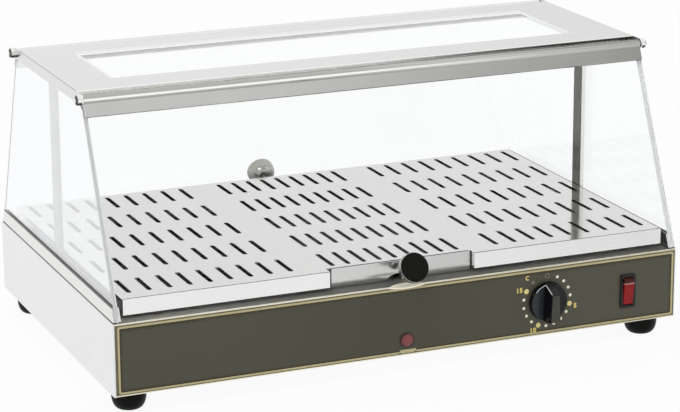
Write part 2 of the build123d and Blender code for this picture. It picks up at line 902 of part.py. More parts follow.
def keep_door(name, door, up):
    """Hinge strip, pane, knob, screw and washer of one door."""
    with BuildPart() as strip:
        with BuildSketch(door.section):
            Circle(barrel_r)
            with Locations((strip_h / 2, leaf_out - leaf_t / 2)):
                Rectangle(strip_h, leaf_t)
            with Locations((strip_web + leaf_t / 2, (leaf_out + pane_in - leaf_t) / 2)):
                Rectangle(leaf_t, leaf_out - pane_in + leaf_t)
            with Locations(((strip_web + strip_h) / 2, pane_in - leaf_t / 2)):
                Rectangle(strip_h - strip_web, leaf_t)
            Circle(rod_d / 2 + rod_play, mode=Mode.SUBTRACT)
        extrude(amount=door_x, both=True)
    keep(strip, f"{name}_door_strip")

    place = knob_place(door, up)
    with BuildPart() as pane:
        head = strip_web + leaf_t
        with BuildSketch(door.section):
            with Locations(((head + door.length) / 2, (pane_in + pane_out) / 2)):
                Rectangle(door.length - head, glass_t)
        extrude(amount=door_x - pane_inset, both=True)
        drill([place.offset(-glass_t)], knob_screw_d + 2 * snug, glass_t)
    keep(pane, f"{name}_door_pane")

    profile = Plane(origin=place.origin, x_dir=(1, 0, 0), z_dir=Vector(1, 0, 0).cross(door.outward))
    bowl_end = knob_neck_l + knob_bowl_l
    face_r = knob_d / 2 - knob_edge_r
    with BuildPart() as knob:
        with BuildSketch(profile):
            with BuildLine():
                Polyline(
                    (face_r, knob_l),
                    (0, knob_l),
                    (0, 0),
                    (knob_neck_d / 2, 0),
                    (knob_neck_d / 2, knob_neck_l),
                )
                EllipticalCenterArc(
                    (knob_neck_d / 2, bowl_end),
                    (knob_d - knob_neck_d) / 2,
                    knob_bowl_l,
                    start_angle=270,
                    arc_size=90,
                )
                Line((knob_d / 2, bowl_end), (knob_d / 2, knob_l - knob_edge_r))
                RadiusArc((knob_d / 2, knob_l - knob_edge_r), (face_r, knob_l), -knob_edge_r)
            make_face()
        revolve(axis=Axis(place.origin, door.outward))
        drill([place], knob_screw_d + 2 * snug, knob_screw_grip)
    keep(knob, f"{name}_door_knob")

    inside = Plane(
        origin=place.origin - door.outward * glass_t,
        x_dir=(1, 0, 0),
        z_dir=door.outward,
    )
    with BuildPart() as washer:
        with BuildSketch(inside):
            Circle(washer_d / 2)
            Circle(knob_screw_d / 2 + snug, mode=Mode.SUBTRACT)
        extrude(amount=-washer_t)
    keep(washer, f"{name}_knob_washer")

    screw_group(
        f"{name}_knob_screw",
        [inside.offset(-washer_t)],
        knob_screw_d,
        washer_t + glass_t + knob_screw_grip - snug,
        knob_screw_head_d,
        knob_screw_head_h,
    )


keep_door("front", front_door, front_knob_up)
keep_door("rear", rear_door, rear_knob_up)

# Thermostat behind the fascia: body with a bush for the spindle
panel_back = dial_face.offset(-film_t - sheet)
with BuildPart() as thermostat_body:
    with BuildSketch(panel_back):
        Rectangle(thermostat_w, thermostat_w)
    extrude(amount=-thermostat_l)
    with BuildSketch(panel_back):
        Circle(thermostat_bush_d / 2)
    extrude(amount=film_t + sheet)
    drill([panel_back.offset(-spindle_in_body)], spindle_d + 2 * snug, spindle_in_body + film_t + sheet)
    drill(thermostat_screw_places, screw_d + 2 * snug, screw_l + snug)
keep(thermostat_body, "thermostat_body")

with BuildPart() as thermostat_spindle:
    with BuildSketch(panel_back.offset(-spindle_in_body + snug)):
        Circle(spindle_d / 2)
    extrude(amount=spindle_in_body + film_t + sheet + dial_gap + spindle_in_dial - 2 * snug)
keep(thermostat_spindle, "thermostat_spindle")

# Dial: a tapered skirt, hollow behind around its boss, with a grip bar whose top slopes to the rim
dial_back = dial_face.offset(dial_gap)
skirt_face = dial_back.offset(dial_skirt_h)
with BuildPart() as dial_knob:
    with BuildSketch(dial_back):
        Circle(dial_d / 2)
    extrude(amount=dial_skirt_h, taper=dial_taper)
    with BuildSketch(skirt_face):
        Polygon(
            (-grip_w / 2, -grip_tail),
            (grip_w / 2, -grip_tail),
            (grip_tip_w / 2, grip_peak),
            (-grip_tip_w / 2, grip_peak),
            align=None,
        )
    extrude(amount=grip_h, taper=grip_taper)
    with BuildSketch(Plane(origin=skirt_face.origin, x_dir=(0, -1, 0), z_dir=(-1, 0, 0))):
        Polygon((0, grip_peak), (grip_h, grip_top), (grip_h, grip_peak), align=None)
    extrude(amount=grip_w, both=True, mode=Mode.SUBTRACT)
    fillet(dial_knob.faces().sort_by(Axis.Y)[0].edges(), grip_edge_r)
    with BuildSketch(dial_back):
        Circle(dial_d / 2 - dial_rim)
        Circle(dial_boss_d / 2, mode=Mode.SUBTRACT)
    extrude(amount=dial_hollow, mode=Mode.SUBTRACT)
    drill([dial_back], spindle_d + 2 * snug, spindle_in_dial)
keep(dial_knob, "dial_knob")

# Thermostat bulb along the front of the heat well, with its capillary to the body
bulb_y = -wall_y - bulb_clip_wall - bulb_d / 2
bulb_z = well_floor + well_depth / 2
bulb_end_x = dial_x - bulb_from_dial
bulb_start_x = bulb_end_x - bulb_l
capillary_y = thermostat_l / 2 - inner_y
with BuildPart() as thermostat_bulb:
    with BuildSketch(Plane.YZ.offset(bulb_start_x)):
        with Locations((bulb_y, bulb_z)):
            Circle(bulb_d / 2)
    extrude(amount=bulb_l)
    with BuildLine() as capillary:
        FilletPolyline(
            (bulb_end_x, bulb_y, bulb_z),
            (dial_x, bulb_y, bulb_z),
            (dial_x, capillary_y, bulb_z),
            (dial_x, capillary_y, dial_z + thermostat_w / 2),
            radius=capillary_bend,
        )
    with BuildSketch(Plane.YZ.offset(bulb_end_x)):
        with Locations((bulb_y, bulb_z)):
            Circle(capillary_d / 2)
    sweep(path=capillary.wires()[0])
keep(thermostat_bulb, "thermostat_bulb")

with BuildPart() as bulb_clips:
    for x in (bulb_start_x + bulb_clip_w, bulb_end_x - bulb_clip_w):
        half = bulb_d / 2 + bulb_clip_wall
        along = (x - bulb_clip_w / 2, x + bulb_clip_w / 2)
        block(along, (bulb_y - half, -wall_y), (bulb_z - half, bulb_z + half))
        across = Plane(origin=(x - bulb_clip_w / 2, bulb_y, bulb_z), x_dir=(0, 1, 0), z_dir=(1, 0, 0))
        drill([across], bulb_d + 2 * snug, bulb_clip_w)
keep(bulb_clips, "bulb_clips")

# Rocker switch: a bezelled body with a well in which the rocker tilts on two pins
rocker_y = face_y + rocker_axis_in
well_half_w = switch_hole_w / 2 - switch_wall
well_half_h = switch_hole_h / 2 - switch_wall
rocker_r = well_half_h - rocker_play
rocker_half_w = well_half_w - rocker_play
rocker_pins_x = rocker_half_w + rocker_pin_l
tilt = radians(rocker_tilt)
with BuildPart() as switch_body:
    with BuildSketch(switch_face):
        RectangleRounded(bezel_w, bezel_h, bezel_r)
    extrude(amount=bezel_t)
    with BuildSketch(switch_face):
        Rectangle(switch_hole_w, switch_hole_h)
    extrude(amount=-switch_l)
    with BuildSketch(switch_face.offset(bezel_t)):
        Rectangle(2 * well_half_w, 2 * well_half_h)
    back = rocker_axis_in + rocker_back * cos(tilt) + rocker_r * sin(tilt) + rocker_play
    extrude(amount=-bezel_t - back, mode=Mode.SUBTRACT)
    pin_hole = Plane(
        origin=(switch_x - rocker_pins_x - snug, rocker_y, switch_z),
        x_dir=(0, 1, 0),
        z_dir=(1, 0, 0),
    )
    drill([pin_hole], rocker_pin_d + 2 * snug, 2 * (rocker_pins_x + snug))
keep(switch_body, "switch_body")

with BuildPart() as rocker:
    tilted = Plane(
        origin=(switch_x, rocker_y, switch_z),
        x_dir=(0, -cos(tilt), -sin(tilt)),
        z_dir=(-1, 0, 0),
    )
    with BuildSketch(tilted):
        Circle(rocker_r)
        with Locations(((rocker_front - rocker_back) / 2, 0)):
            Rectangle(rocker_front + rocker_back, 2 * rocker_r, mode=Mode.INTERSECT)
    extrude(amount=rocker_half_w, both=True)
    front_face = rocker.faces().sort_by(Axis(tilted.origin, tilted.x_dir))[-1]
    fillet(front_face.edges(), rocker_edge_r)
    with BuildSketch(tilted):
        Circle(rocker_pin_d / 2)
    extrude(amount=rocker_pins_x, both=True)
keep(rocker, "rocker")

# Pilot lamp
with BuildPart() as lamp_body:
    with BuildSketch(lamp_face):
        Circle(lamp_bezel_d / 2)
    extrude(amount=lamp_bezel_t)
    with BuildSketch(lamp_face):
        Circle(lamp_barrel_d / 2)
    extrude(amount=-lamp_barrel_l)
    drill([lamp_face.offset(lamp_bezel_t - lens_seat)], lens_d + 2 * snug, lens_seat)
keep(lamp_body, "lamp_body")

lens_dome_r = ((lens_d / 2) ** 2 + lens_rise**2) / (2 * lens_rise)
with BuildPart() as lamp_lens:
    seat = lamp_face.offset(lamp_bezel_t - lens_seat)
    dome = Plane(origin=seat.origin, x_dir=(1, 0, 0), z_dir=(0, 0, -1))
    with BuildSketch(dome):
        with BuildLine():
            Polyline((0, lens_seat + lens_rise), (0, 0), (lens_d / 2, 0), (lens_d / 2, lens_seat))
            RadiusArc((lens_d / 2, lens_seat), (0, lens_seat + lens_rise), -lens_dome_r)
        make_face()
    revolve(axis=Axis(seat.origin, (0, -1, 0)))
keep(lamp_lens, "lamp_lens")

lamp_nut_seat = Plane(
    origin=(lamp_x, -inner_y, lamp_z),
    x_dir=(1, 0, 0),
    z_dir=(0, 1, 0),
)
nut_group("lamp_nut", [lamp_nut_seat], lamp_barrel_d, lamp_nut_w, lamp_nut_t)

# Cord gland, its lock nut and the terminal block behind it
with BuildPart() as cable_gland:
    with BuildSketch(gland_face):
        RegularPolygon(gland_hex_w / 2, 6, major_radius=False)
    extrude(amount=gland_hex_t)
    with BuildSketch(gland_face.offset(gland_hex_t)):
        Circle(gland_dome_d / 2)
    extrude(amount=gland_dome_l, taper=gland_taper)
    with BuildSketch(gland_face):
        Circle(gland_d / 2)
    extrude(amount=-gland_thread_l)
    drill([gland_face.offset(-gland_thread_l)], gland_bore_d, gland_thread_l + gland_hex_t + gland_dome_l)
keep(cable_gland, "cable_gland")

gland_nut_seat = Plane(
    origin=(gland_x, inner_y, gland_z),
    x_dir=(1, 0, 0),
    z_dir=(0, -1, 0),
)
nut_group("gland_nut", [gland_nut_seat], gland_d, gland_nut_w, gland_nut_t)

with BuildPart() as terminal_block:
    block(
        (gland_x - terminal_w / 2, gland_x + terminal_w / 2),
        (terminal_y - terminal_d / 2, terminal_y + terminal_d / 2),
        (sill_z, sill_z + terminal_h),
    )
    way_pitch = terminal_w / terminal_ways
    ways = [
        Plane(
            origin=(
                gland_x + (index - (terminal_ways - 1) / 2) * way_pitch,
                terminal_y - terminal_d / 2,
                sill_z + terminal_way_up,
            ),
            x_dir=(1, 0, 0),
            z_dir=(0, 1, 0),
        )
        for index in range(terminal_ways)
    ]
    drill(ways, terminal_way_d, terminal_d)
    drill(terminal_screw_places, screw_d + 2 * snug, screw_l + snug)
keep(terminal_block, "terminal_block")

print("front lean", round(degrees(front_door.lean), 3), "rear lean", round(degrees(rear_door.lean), 3))
print("hinge z", hinge_z, "front y", front_door.hinge_y, "rear y", rear_door.hinge_y)
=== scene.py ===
import json
import math

import bmesh
import bpy
from mathutils import Matrix, Vector


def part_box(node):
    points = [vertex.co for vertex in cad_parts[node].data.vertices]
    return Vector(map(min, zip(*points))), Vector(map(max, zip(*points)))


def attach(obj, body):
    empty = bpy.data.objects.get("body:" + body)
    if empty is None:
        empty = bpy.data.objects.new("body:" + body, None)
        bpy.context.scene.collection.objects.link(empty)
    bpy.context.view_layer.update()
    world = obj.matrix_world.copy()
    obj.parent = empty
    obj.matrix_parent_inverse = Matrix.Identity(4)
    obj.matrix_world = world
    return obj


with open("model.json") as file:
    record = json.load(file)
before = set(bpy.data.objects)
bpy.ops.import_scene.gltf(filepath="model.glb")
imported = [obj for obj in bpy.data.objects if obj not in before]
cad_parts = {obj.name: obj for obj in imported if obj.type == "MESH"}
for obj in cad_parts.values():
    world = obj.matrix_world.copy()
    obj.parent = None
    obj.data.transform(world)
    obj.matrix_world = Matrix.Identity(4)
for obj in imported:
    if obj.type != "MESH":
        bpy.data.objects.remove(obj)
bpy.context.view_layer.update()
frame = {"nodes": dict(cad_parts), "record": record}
nodes = frame["nodes"]

MM = 0.001

# Camera: angles in degrees, lengths in metres, lens and sensor in millimetres
VIEW_AZIMUTH = -22.8409
VIEW_ELEVATION = 15.9862
VIEW_ROLL = -0.3618
VIEW_DISTANCE = 2.6859422
VIEW_AIM = (0.0089883, 0.0, 0.1238152)
VIEW_LENS = 137.6042
SENSOR_WIDTH = 36.0
CLIP_NEAR = 0.05
CLIP_FAR = 60.0

# Studio: its level where it is seen and on matt surfaces, its floor, and a card in front, in metres
STUDIO_WHITE = 1.0
STUDIO_FILL = 0.62
WHITE = (1.0, 1.0, 1.0)
FLOOR_REACH = 30.0
FLOOR_PAINT = (0.95, 0.95, 0.95)
FLOOR_GLOW_SHARE = 0.92
CARD_LEFT, CARD_RIGHT = -1.3, 1.5
CARD_LOW, CARD_HIGH = 0.78, 1.06
CARD_Y = -1.2
CARD_COLOUR = (1.0, 0.997, 0.985)
CARD_GLOW = 0.64

# Softboxes: name, place, aim and size in metres, power in watts
SOFTBOXES = (
    ("key_softbox", (-1.6, -1.8, 2.2), (0.0, 0.0, 0.12), (1.6, 1.2), 22.0),
    ("fill_softbox", (1.9, -1.2, 1.4), (0.0, 0.0, 0.12), (1.4, 1.2), 8.0),
    ("back_softbox", (0.0, 1.9, 1.9), (0.0, 0.0, 0.15), (2.0, 1.0), 10.0),
)

# Ways that faces look
UP = (0.0, 0.0, 1.0)
DOWN = (0.0, 0.0, -1.0)
FRONT = (0.0, -1.0, 0.0)
REAR = (0.0, 1.0, 0.0)
LEFT = (-1.0, 0.0, 0.0)
RIGHT = (1.0, 0.0, 0.0)

# Lines of brushing per metre, few along the way that the sheet was brushed
ALONG_X = (5.0, 1100.0, 1100.0)
ALONG_Y = (1100.0, 5.0, 1100.0)
ALONG_Z = (1100.0, 1100.0, 5.0)

# Colour sockets of a Mix node
MIX_A, MIX_B, MIX_RESULT = 6, 7, 2


def place(tree, kind, sockets=None, **settings):
    """A node with its settings, and with its sockets linked or set."""
    made = tree.nodes.new(kind)
    for name, value in settings.items():
        setattr(made, name, value)
    for name, value in (sockets or {}).items():
        socket = made.inputs[name]
        if isinstance(value, bpy.types.NodeSocket):
            tree.links.new(value, socket)
        else:
            socket.default_value = value
    return made


def maths(tree, operation, a, b=0.0):
    return place(tree, "ShaderNodeMath", {0: a, 1: b}, operation=operation).outputs[0]


def part_of(tree, value, share):
    return maths(tree, "MULTIPLY", value, share)


def spread(tree, value, low, high, to_low=0.0, to_high=1.0):
    """A value from low to high, which may run downwards, spread over another range and held inside it."""
    sockets = {"Value": value, "From Min": low, "From Max": high, "To Min": to_low, "To Max": to_high}
    return place(tree, "ShaderNodeMapRange", sockets).outputs[0]


def along_way(tree, given, way):
    """How far a place lies along a way, or the share of a way that lies along another."""
    made = place(tree, "ShaderNodeVectorMath", {0: given, 1: way}, operation="DOT_PRODUCT")
    return made.outputs["Value"]


def opaque(colour):
    return colour if isinstance(colour, bpy.types.NodeSocket) else (*colour, 1.0)


def tint(tree, factor, a, b):
    """Colour a brought to colour b by a factor."""
    sockets = {0: factor, MIX_A: opaque(a), MIX_B: opaque(b)}
    return place(tree, "ShaderNodeMix", sockets, data_type="RGBA").outputs[MIX_RESULT]


def blend(tree, factor, a, b):
    """Shader a brought to shader b by a factor."""
    return place(tree, "ShaderNodeMixShader", {0: factor, 1: a.outputs[0], 2: b.outputs[0]})


def show(tree, shader, kind="ShaderNodeOutputMaterial"):
    place(tree, kind, {"Surface": shader.outputs[0]})


def new_effect(name, inputs, output):
    """An empty node group with named sockets, its input node and its output node."""
    group = bpy.data.node_groups.new(name, "ShaderNodeTree")
    for label, value in inputs.items():
        kind = "NodeSocketVector" if isinstance(value, tuple) else "NodeSocketFloat"
        socket = group.interface.new_socket(label, in_out="INPUT", socket_type=kind)
        socket.default_value = value
    group.interface.new_socket(output, in_out="OUTPUT", socket_type="NodeSocketFloat")
    return group, group.nodes.new("NodeGroupInput"), group.nodes.new("NodeGroupOutput")


def texture_spot(tree):
    return tree.nodes.new("ShaderNodeTexCoord").outputs["Object"]


def piece_normal(tree):
    return tree.nodes.new("ShaderNodeTexCoord").outputs["Normal"]


def true_normal(tree):
    return tree.nodes.new("ShaderNodeNewGeometry").outputs["Normal"]


def make_sheet_grain():
    """Fine lines of a brushed sheet, stretched along the way it was brushed."""
    group, given, out = new_effect("sheet_grain", {"Stretch": ALONG_X}, "Grain")
    drawn = place(group, "ShaderNodeVectorMath", {0: texture_spot(group), 1: given.outputs["Stretch"]},
                  operation="MULTIPLY")
    lines = place(group, "ShaderNodeTexNoise", {"Vector": drawn.outputs[0], "Scale": 1.0, "Detail": 3.0})
    group.links.new(lines.outputs[0], out.inputs["Grain"])
    return group


def make_hand_smudge():
    """Soft patches left by handling and wiping."""
    group, given, out = new_effect("hand_smudge", {"Scale": 14.0}, "Smudge")
    cloud = place(group, "ShaderNodeTexNoise", {"Vector": texture_spot(group), "Detail": 4.0,
                                                "Scale": given.outputs["Scale"], "Distortion": 0.6})
    group.links.new(spread(group, cloud.outputs[0], low=0.42, high=0.68), out.inputs["Smudge"])
    return group


def make_edge_wear_and_highlight():
    """Edges made brighter, partly rubbed by wear and partly a painted highlight, where the rounded normal
    leaves the true one.
    """
    group, given, out = new_effect("edge_wear_and_highlight", {"Width": 0.6 * MM}, "Edge")
    rounded = place(group, "ShaderNodeBevel", {"Radius": given.outputs["Width"]}, samples=4).outputs[0]
    like = along_way(group, true_normal(group), rounded)
    group.links.new(spread(group, like, low=0.995, high=0.86), out.inputs["Edge"])
    return group


def make_settled_dust():
    """Specks and film lying on faces that look up."""
    group, given, out = new_effect("settled_dust", {"Scale": 160.0}, "Dust")
    up = place(group, "ShaderNodeSeparateXYZ", {0: true_normal(group)}).outputs[2]
    specks = place(group, "ShaderNodeTexNoise", {"Vector": texture_spot(group), "Detail": 5.0,
                                                 "Scale": given.outputs["Scale"]})
    level = spread(group, up, low=0.6, high=1.0)
    lying = part_of(group, level, spread(group, specks.outputs[0], low=0.5, high=0.75))
    group.links.new(lying, out.inputs["Dust"])
    return group


def make_facing():
    """Faces of the piece that look a given way, between two shares."""
    group, given, out = new_effect("facing", {"Way": UP, "Low": 0.9, "High": 0.97}, "Facing")
    like = along_way(group, piece_normal(group), given.outputs["Way"])
    mask = spread(group, like, given.outputs["Low"], given.outputs["High"])
    group.links.new(mask, out.inputs["Facing"])
    return group


def make_band():
    """A straight band across the piece, with edges as soft as a share of its half width."""
    inputs = {"Way": UP, "Middle": 0.1, "Half": 1.0 * MM, "Soft": 0.15}
    group, given, out = new_effect("band", inputs, "Band")
    along = along_way(group, texture_spot(group), given.outputs["Way"])
    off = maths(group, "ABSOLUTE", maths(group, "SUBTRACT", along, given.outputs["Middle"]))
    share = maths(group, "DIVIDE", off, given.outputs["Half"])
    soft = given.outputs["Soft"]
    mask = spread(group, share, maths(group, "ADD", 1.0, soft), maths(group, "SUBTRACT", 1.0, soft))
    group.links.new(mask, out.inputs["Band"])
    return group


SHEET_GRAIN = make_sheet_grain()
HAND_SMUDGE = make_hand_smudge()
EDGE_WEAR_AND_HIGHLIGHT = make_edge_wear_and_highlight()
SETTLED_DUST = make_settled_dust()
FACING = make_facing()
BAND = make_band()


def effect(tree, group, **given):
    made = tree.nodes.new("ShaderNodeGroup")
    made.node_tree = group
    for name, value in given.items():
        made.inputs[name].default_value = value
    return made.outputs[0]


# Masks: each is a function that adds its nodes to a material and gives a value from 0 to 1


def facing(way, low, high):
    """Faces that look a given way: 0 at the low share of it, 1 at the high one."""
    return lambda tree: effect(tree, FACING, Way=way, Low=low, High=high)


def band(way, middle, half, soft=0.15):
    """A band across a given way, by its middle and half its width in metres."""
    return lambda tree: effect(tree, BAND, Way=way, Middle=middle, Half=half, Soft=soft)


def joined(operation, masks):
    def mask(tree):
        value = masks[0](tree)
        for other in masks[1:]:
            value = maths(tree, operation, value, other(tree))
        return value
    return mask


def either(*masks):
    """1 where any of the masks is."""
    return joined("MAXIMUM", masks)


def overlap(*masks):
    """1 where all of the masks are."""
    return joined("MULTIPLY", masks)


# Wear and painted edge highlight: the width of rubbed, highlit edges and the depth of grain in metres, and
# shares in colour and roughness
EDGE_WEAR_AND_HIGHLIGHT_W = 0.5 * MM
GRAIN_DEPTH = 0.06 * MM
GRAIN_LOW, GRAIN_HIGH = 0.2, 0.8
EDGE_WEAR_AND_HIGHLIGHT_SHARE = 0.4
STEEL_GRAIN_SHARE = 0.35
STEEL_SMOOTHER, STEEL_ROUGHER = 0.04, 0.05
STEEL_PATCH_SHARE = 0.14
STEEL_PATCH_ROUGH = 0.04
STEEL_DUST_SCALE = 180.0
STEEL_DUST_ROUGH = 0.3
STEEL_DUST = (0.62, 0.61, 0.58)
MATT_ROUGH = 0.6
PLASTIC_TOOTH = 900.0
PLASTIC_SMOOTHER, PLASTIC_ROUGHER = 0.05, 0.07
PLASTIC_PATCH_SCALE = 40.0
PLASTIC_PATCH_SHARE = 0.6
PLASTIC_PATCH_ROUGH = 0.07
PLASTIC_DUST_SCALE = 260.0
PLASTIC_DUST = (0.22, 0.21, 0.20)


def even_grain(density):
    return (density, density, density)


def paler(colour, gain, lift, limit):
    """Colour of a rubbed edge with its painted highlight."""
    return tuple(min(limit, part * gain + lift) for part in colour)


def new_finish(name, **plain):
    """An empty material with a Principled shader, whose plain sockets are set."""
    finish = bpy.data.materials.new(name)
    finish.use_nodes = True
    tree = finish.node_tree
    tree.nodes.clear()
    skin = tree.nodes.new("ShaderNodeBsdfPrincipled")
    for socket, value in plain.items():
        skin.inputs[socket.replace("_", " ")].default_value = value
    return finish, tree, skin


def raise_bump(tree, skin, height, depth, strength):
    bump = place(tree, "ShaderNodeBump", {"Height": height, "Distance": depth, "Strength": strength})
    tree.links.new(bump.outputs[0], skin.inputs["Normal"])


def lay_tones(tree, body, tones):
    """The body's colour, brought in turn to each tone's colour where its mask is 1."""
    for mask, colour in tones:
        body = tint(tree, mask(tree), body, colour)
    return body


def brushed_sheet(name, colour, shade, rough, stretch, smudge=14.0, dusty=0.15, bump=0.03, tones=(),
                  matt=None):
    """Brushed stainless sheet: grain, wiped patches, rubbed edges with a painted highlight, a little dust,
    tones (most of them painted light and shade) and matt faces.
    """
    finish, tree, skin = new_finish(name, Metallic=1.0)
    grain = effect(tree, SHEET_GRAIN, Stretch=stretch)
    patch = effect(tree, HAND_SMUDGE, Scale=smudge)
    wear_and_highlight = effect(tree, EDGE_WEAR_AND_HIGHLIGHT, Width=EDGE_WEAR_AND_HIGHLIGHT_W)
    dust = part_of(tree, effect(tree, SETTLED_DUST, Scale=STEEL_DUST_SCALE), dusty)
    body = tint(tree, part_of(tree, grain, STEEL_GRAIN_SHARE), colour, shade)
    body = tint(tree, part_of(tree, patch, STEEL_PATCH_SHARE), body, shade)
    body = lay_tones(tree, body, tones)
    # Edges paler by wear and by a painted highlight
    wear_and_highlight_colour = paler(colour, gain=1.25, lift=0.02, limit=0.93)
    body = tint(tree, part_of(tree, wear_and_highlight, EDGE_WEAR_AND_HIGHLIGHT_SHARE), body, wear_and_highlight_colour)
    tree.links.new(tint(tree, dust, body, STEEL_DUST), skin.inputs["Base Color"])
    sheen = spread(tree, grain, GRAIN_LOW, GRAIN_HIGH, rough - STEEL_SMOOTHER, rough + STEEL_ROUGHER)
    sheen = maths(tree, "ADD", sheen, part_of(tree, patch, STEEL_PATCH_ROUGH))
    sheen = maths(tree, "ADD", sheen, part_of(tree, dust, STEEL_DUST_ROUGH))
    if matt:
        dull = matt(tree)
        sheen = maths(tree, "MAXIMUM", sheen, part_of(tree, dull, MATT_ROUGH))
        tree.links.new(maths(tree, "SUBTRACT", 1.0, dull), skin.inputs["Metallic"])
    tree.links.new(sheen, skin.inputs["Roughness"])
    raise_bump(tree, skin, grain, GRAIN_DEPTH, bump)
    show(tree, skin)
    return finish


def moulded(name, colour, shade, rough, bump=0.06, dusty=0.2, tones=(), **plain):
    """Moulded plastic or rubber: fine tooth, handled patches, edges paler by wear and a painted highlight,
    dust, and tones where given, which are painted light and shade.
    """
    finish, tree, skin = new_finish(name, **plain)
    tooth = effect(tree, SHEET_GRAIN, Stretch=even_grain(PLASTIC_TOOTH))
    patch = effect(tree, HAND_SMUDGE, Scale=PLASTIC_PATCH_SCALE)
    wear_and_highlight = effect(tree, EDGE_WEAR_AND_HIGHLIGHT, Width=EDGE_WEAR_AND_HIGHLIGHT_W)
    dust = part_of(tree, effect(tree, SETTLED_DUST, Scale=PLASTIC_DUST_SCALE), dusty)
    body = tint(tree, part_of(tree, patch, PLASTIC_PATCH_SHARE), colour, shade)
    body = lay_tones(tree, body, tones)
    # Edges paler by wear and by a painted highlight
    wear_and_highlight_colour = paler(colour, gain=1.6, lift=0.01, limit=1.0)
    body = tint(tree, part_of(tree, wear_and_highlight, EDGE_WEAR_AND_HIGHLIGHT_SHARE), body, wear_and_highlight_colour)
    tree.links.new(tint(tree, dust, body, PLASTIC_DUST), skin.inputs["Base Color"])
    sheen = spread(tree, tooth, GRAIN_LOW, GRAIN_HIGH, rough - PLASTIC_SMOOTHER, rough + PLASTIC_ROUGHER)
    sheen = maths(tree, "ADD", sheen, part_of(tree, patch, PLASTIC_PATCH_ROUGH))
    tree.links.new(sheen, skin.inputs["Roughness"])
    raise_bump(tree, skin, tooth, GRAIN_DEPTH, bump)
    show(tree, skin)
    return finish


# Glass: its refraction, low so that it mirrors little, its tints, its sheen and its ground edges
PANE_IOR = 1.2
PANE_CLEAR, PANE_WIPED = (0.993, 0.998, 1.0), (0.985, 0.993, 0.997)
STREAK_SCALE = 9.0
STREAK_SHARE = 0.35
STREAK_ROUGH = 0.002
SKY_SHEEN = (0.97, 0.98, 1.0)
SKY_ROUGH = 0.06
GROUND_EDGE, GROUND_EDGE_PALE = (0.56, 0.575, 0.57), (0.62, 0.635, 0.63)
GROUND_TOOTH = 700.0
GROUND_ROUGH = 0.55


def lay_sky_sheen(tree, skin, streak, sheen_share):
    """A sky-like sheen on the outer face of a left pane, stronger where it is seen aslant."""
    film = place(tree, "ShaderNodeBsdfPrincipled",
                 {"Base Color": opaque(SKY_SHEEN), "Metallic": 1.0, "Roughness": SKY_ROUGH})
    aslant = place(tree, "ShaderNodeLayerWeight", {"Blend": 0.5}).outputs["Facing"]
    wiped = spread(tree, streak, 0.0, 1.0, to_low=0.92, to_high=1.0)
    share = part_of(tree, part_of(tree, spread(tree, aslant, low=0.2, high=0.75), sheen_share), wiped)
    share = part_of(tree, share, effect(tree, FACING, Way=LEFT, Low=0.5, High=0.8))
    return blend(tree, share, skin, film)


def ground_edges(tree, flat_way):
    """Mask of a pane's edges from outside: faces that don't look along the way of its flat faces."""
    flat = maths(tree, "ABSOLUTE", along_way(tree, piece_normal(tree), flat_way))
    inside = tree.nodes.new("ShaderNodeNewGeometry").outputs["Backfacing"]
    return part_of(tree, spread(tree, flat, low=0.75, high=0.45), maths(tree, "SUBTRACT", 1.0, inside))


def clear_pane(name, flat_way, sheen_share=0.0):
    """Float glass with wiped streaks, pale ground edges and, where a sheen share is given, a painted sky-like
    sheen.
    """
    finish, tree, skin = new_finish(name, Metallic=0.0, Transmission_Weight=1.0, IOR=PANE_IOR)
    streak = effect(tree, HAND_SMUDGE, Scale=STREAK_SCALE)
    clear = tint(tree, part_of(tree, streak, STREAK_SHARE), PANE_CLEAR, PANE_WIPED)
    tree.links.new(clear, skin.inputs["Base Color"])
    tree.links.new(part_of(tree, streak, STREAK_ROUGH), skin.inputs["Roughness"])
    flat = lay_sky_sheen(tree, skin, streak, sheen_share) if sheen_share else skin
    tooth = effect(tree, SHEET_GRAIN, Stretch=even_grain(GROUND_TOOTH))
    edge_colour = tint(tree, tooth, GROUND_EDGE, GROUND_EDGE_PALE)
    edge = place(tree, "ShaderNodeBsdfPrincipled", {"Base Color": edge_colour, "Roughness": GROUND_ROUGH})
    show(tree, blend(tree, ground_edges(tree, flat_way), flat, edge))
    return finish


# Printed film: its tones and their shares, its scuffs, and the darker middle of the fascia in metres
FILM_OLIVE, FILM_MOTTLE = (0.057, 0.055, 0.034), (0.064, 0.062, 0.040)
FILM_MOTTLE_SCALE = 7.0
FILM_SMOOTH, FILM_ROUGH = 0.42, 0.50
FILM_SCUFF = (0.076, 0.074, 0.052)
FILM_SCUFF_LINES = (40.0, 900.0, 900.0)
FILM_SCUFF_SHARE = 0.22
FILM_SCUFF_DEPTH = 0.04 * MM
FILM_SCUFF_BUMP = 0.04
FILM_MIDDLE = (0.046, 0.043, 0.025)
FILM_MIDDLE_BAND = band(RIGHT, middle=-0.01, half=0.11, soft=0.75)
FILM_MIDDLE_SHARE = 0.8
FILM_EDGE = (0.12, 0.11, 0.08)
FILM_EDGE_SHARE = 0.3


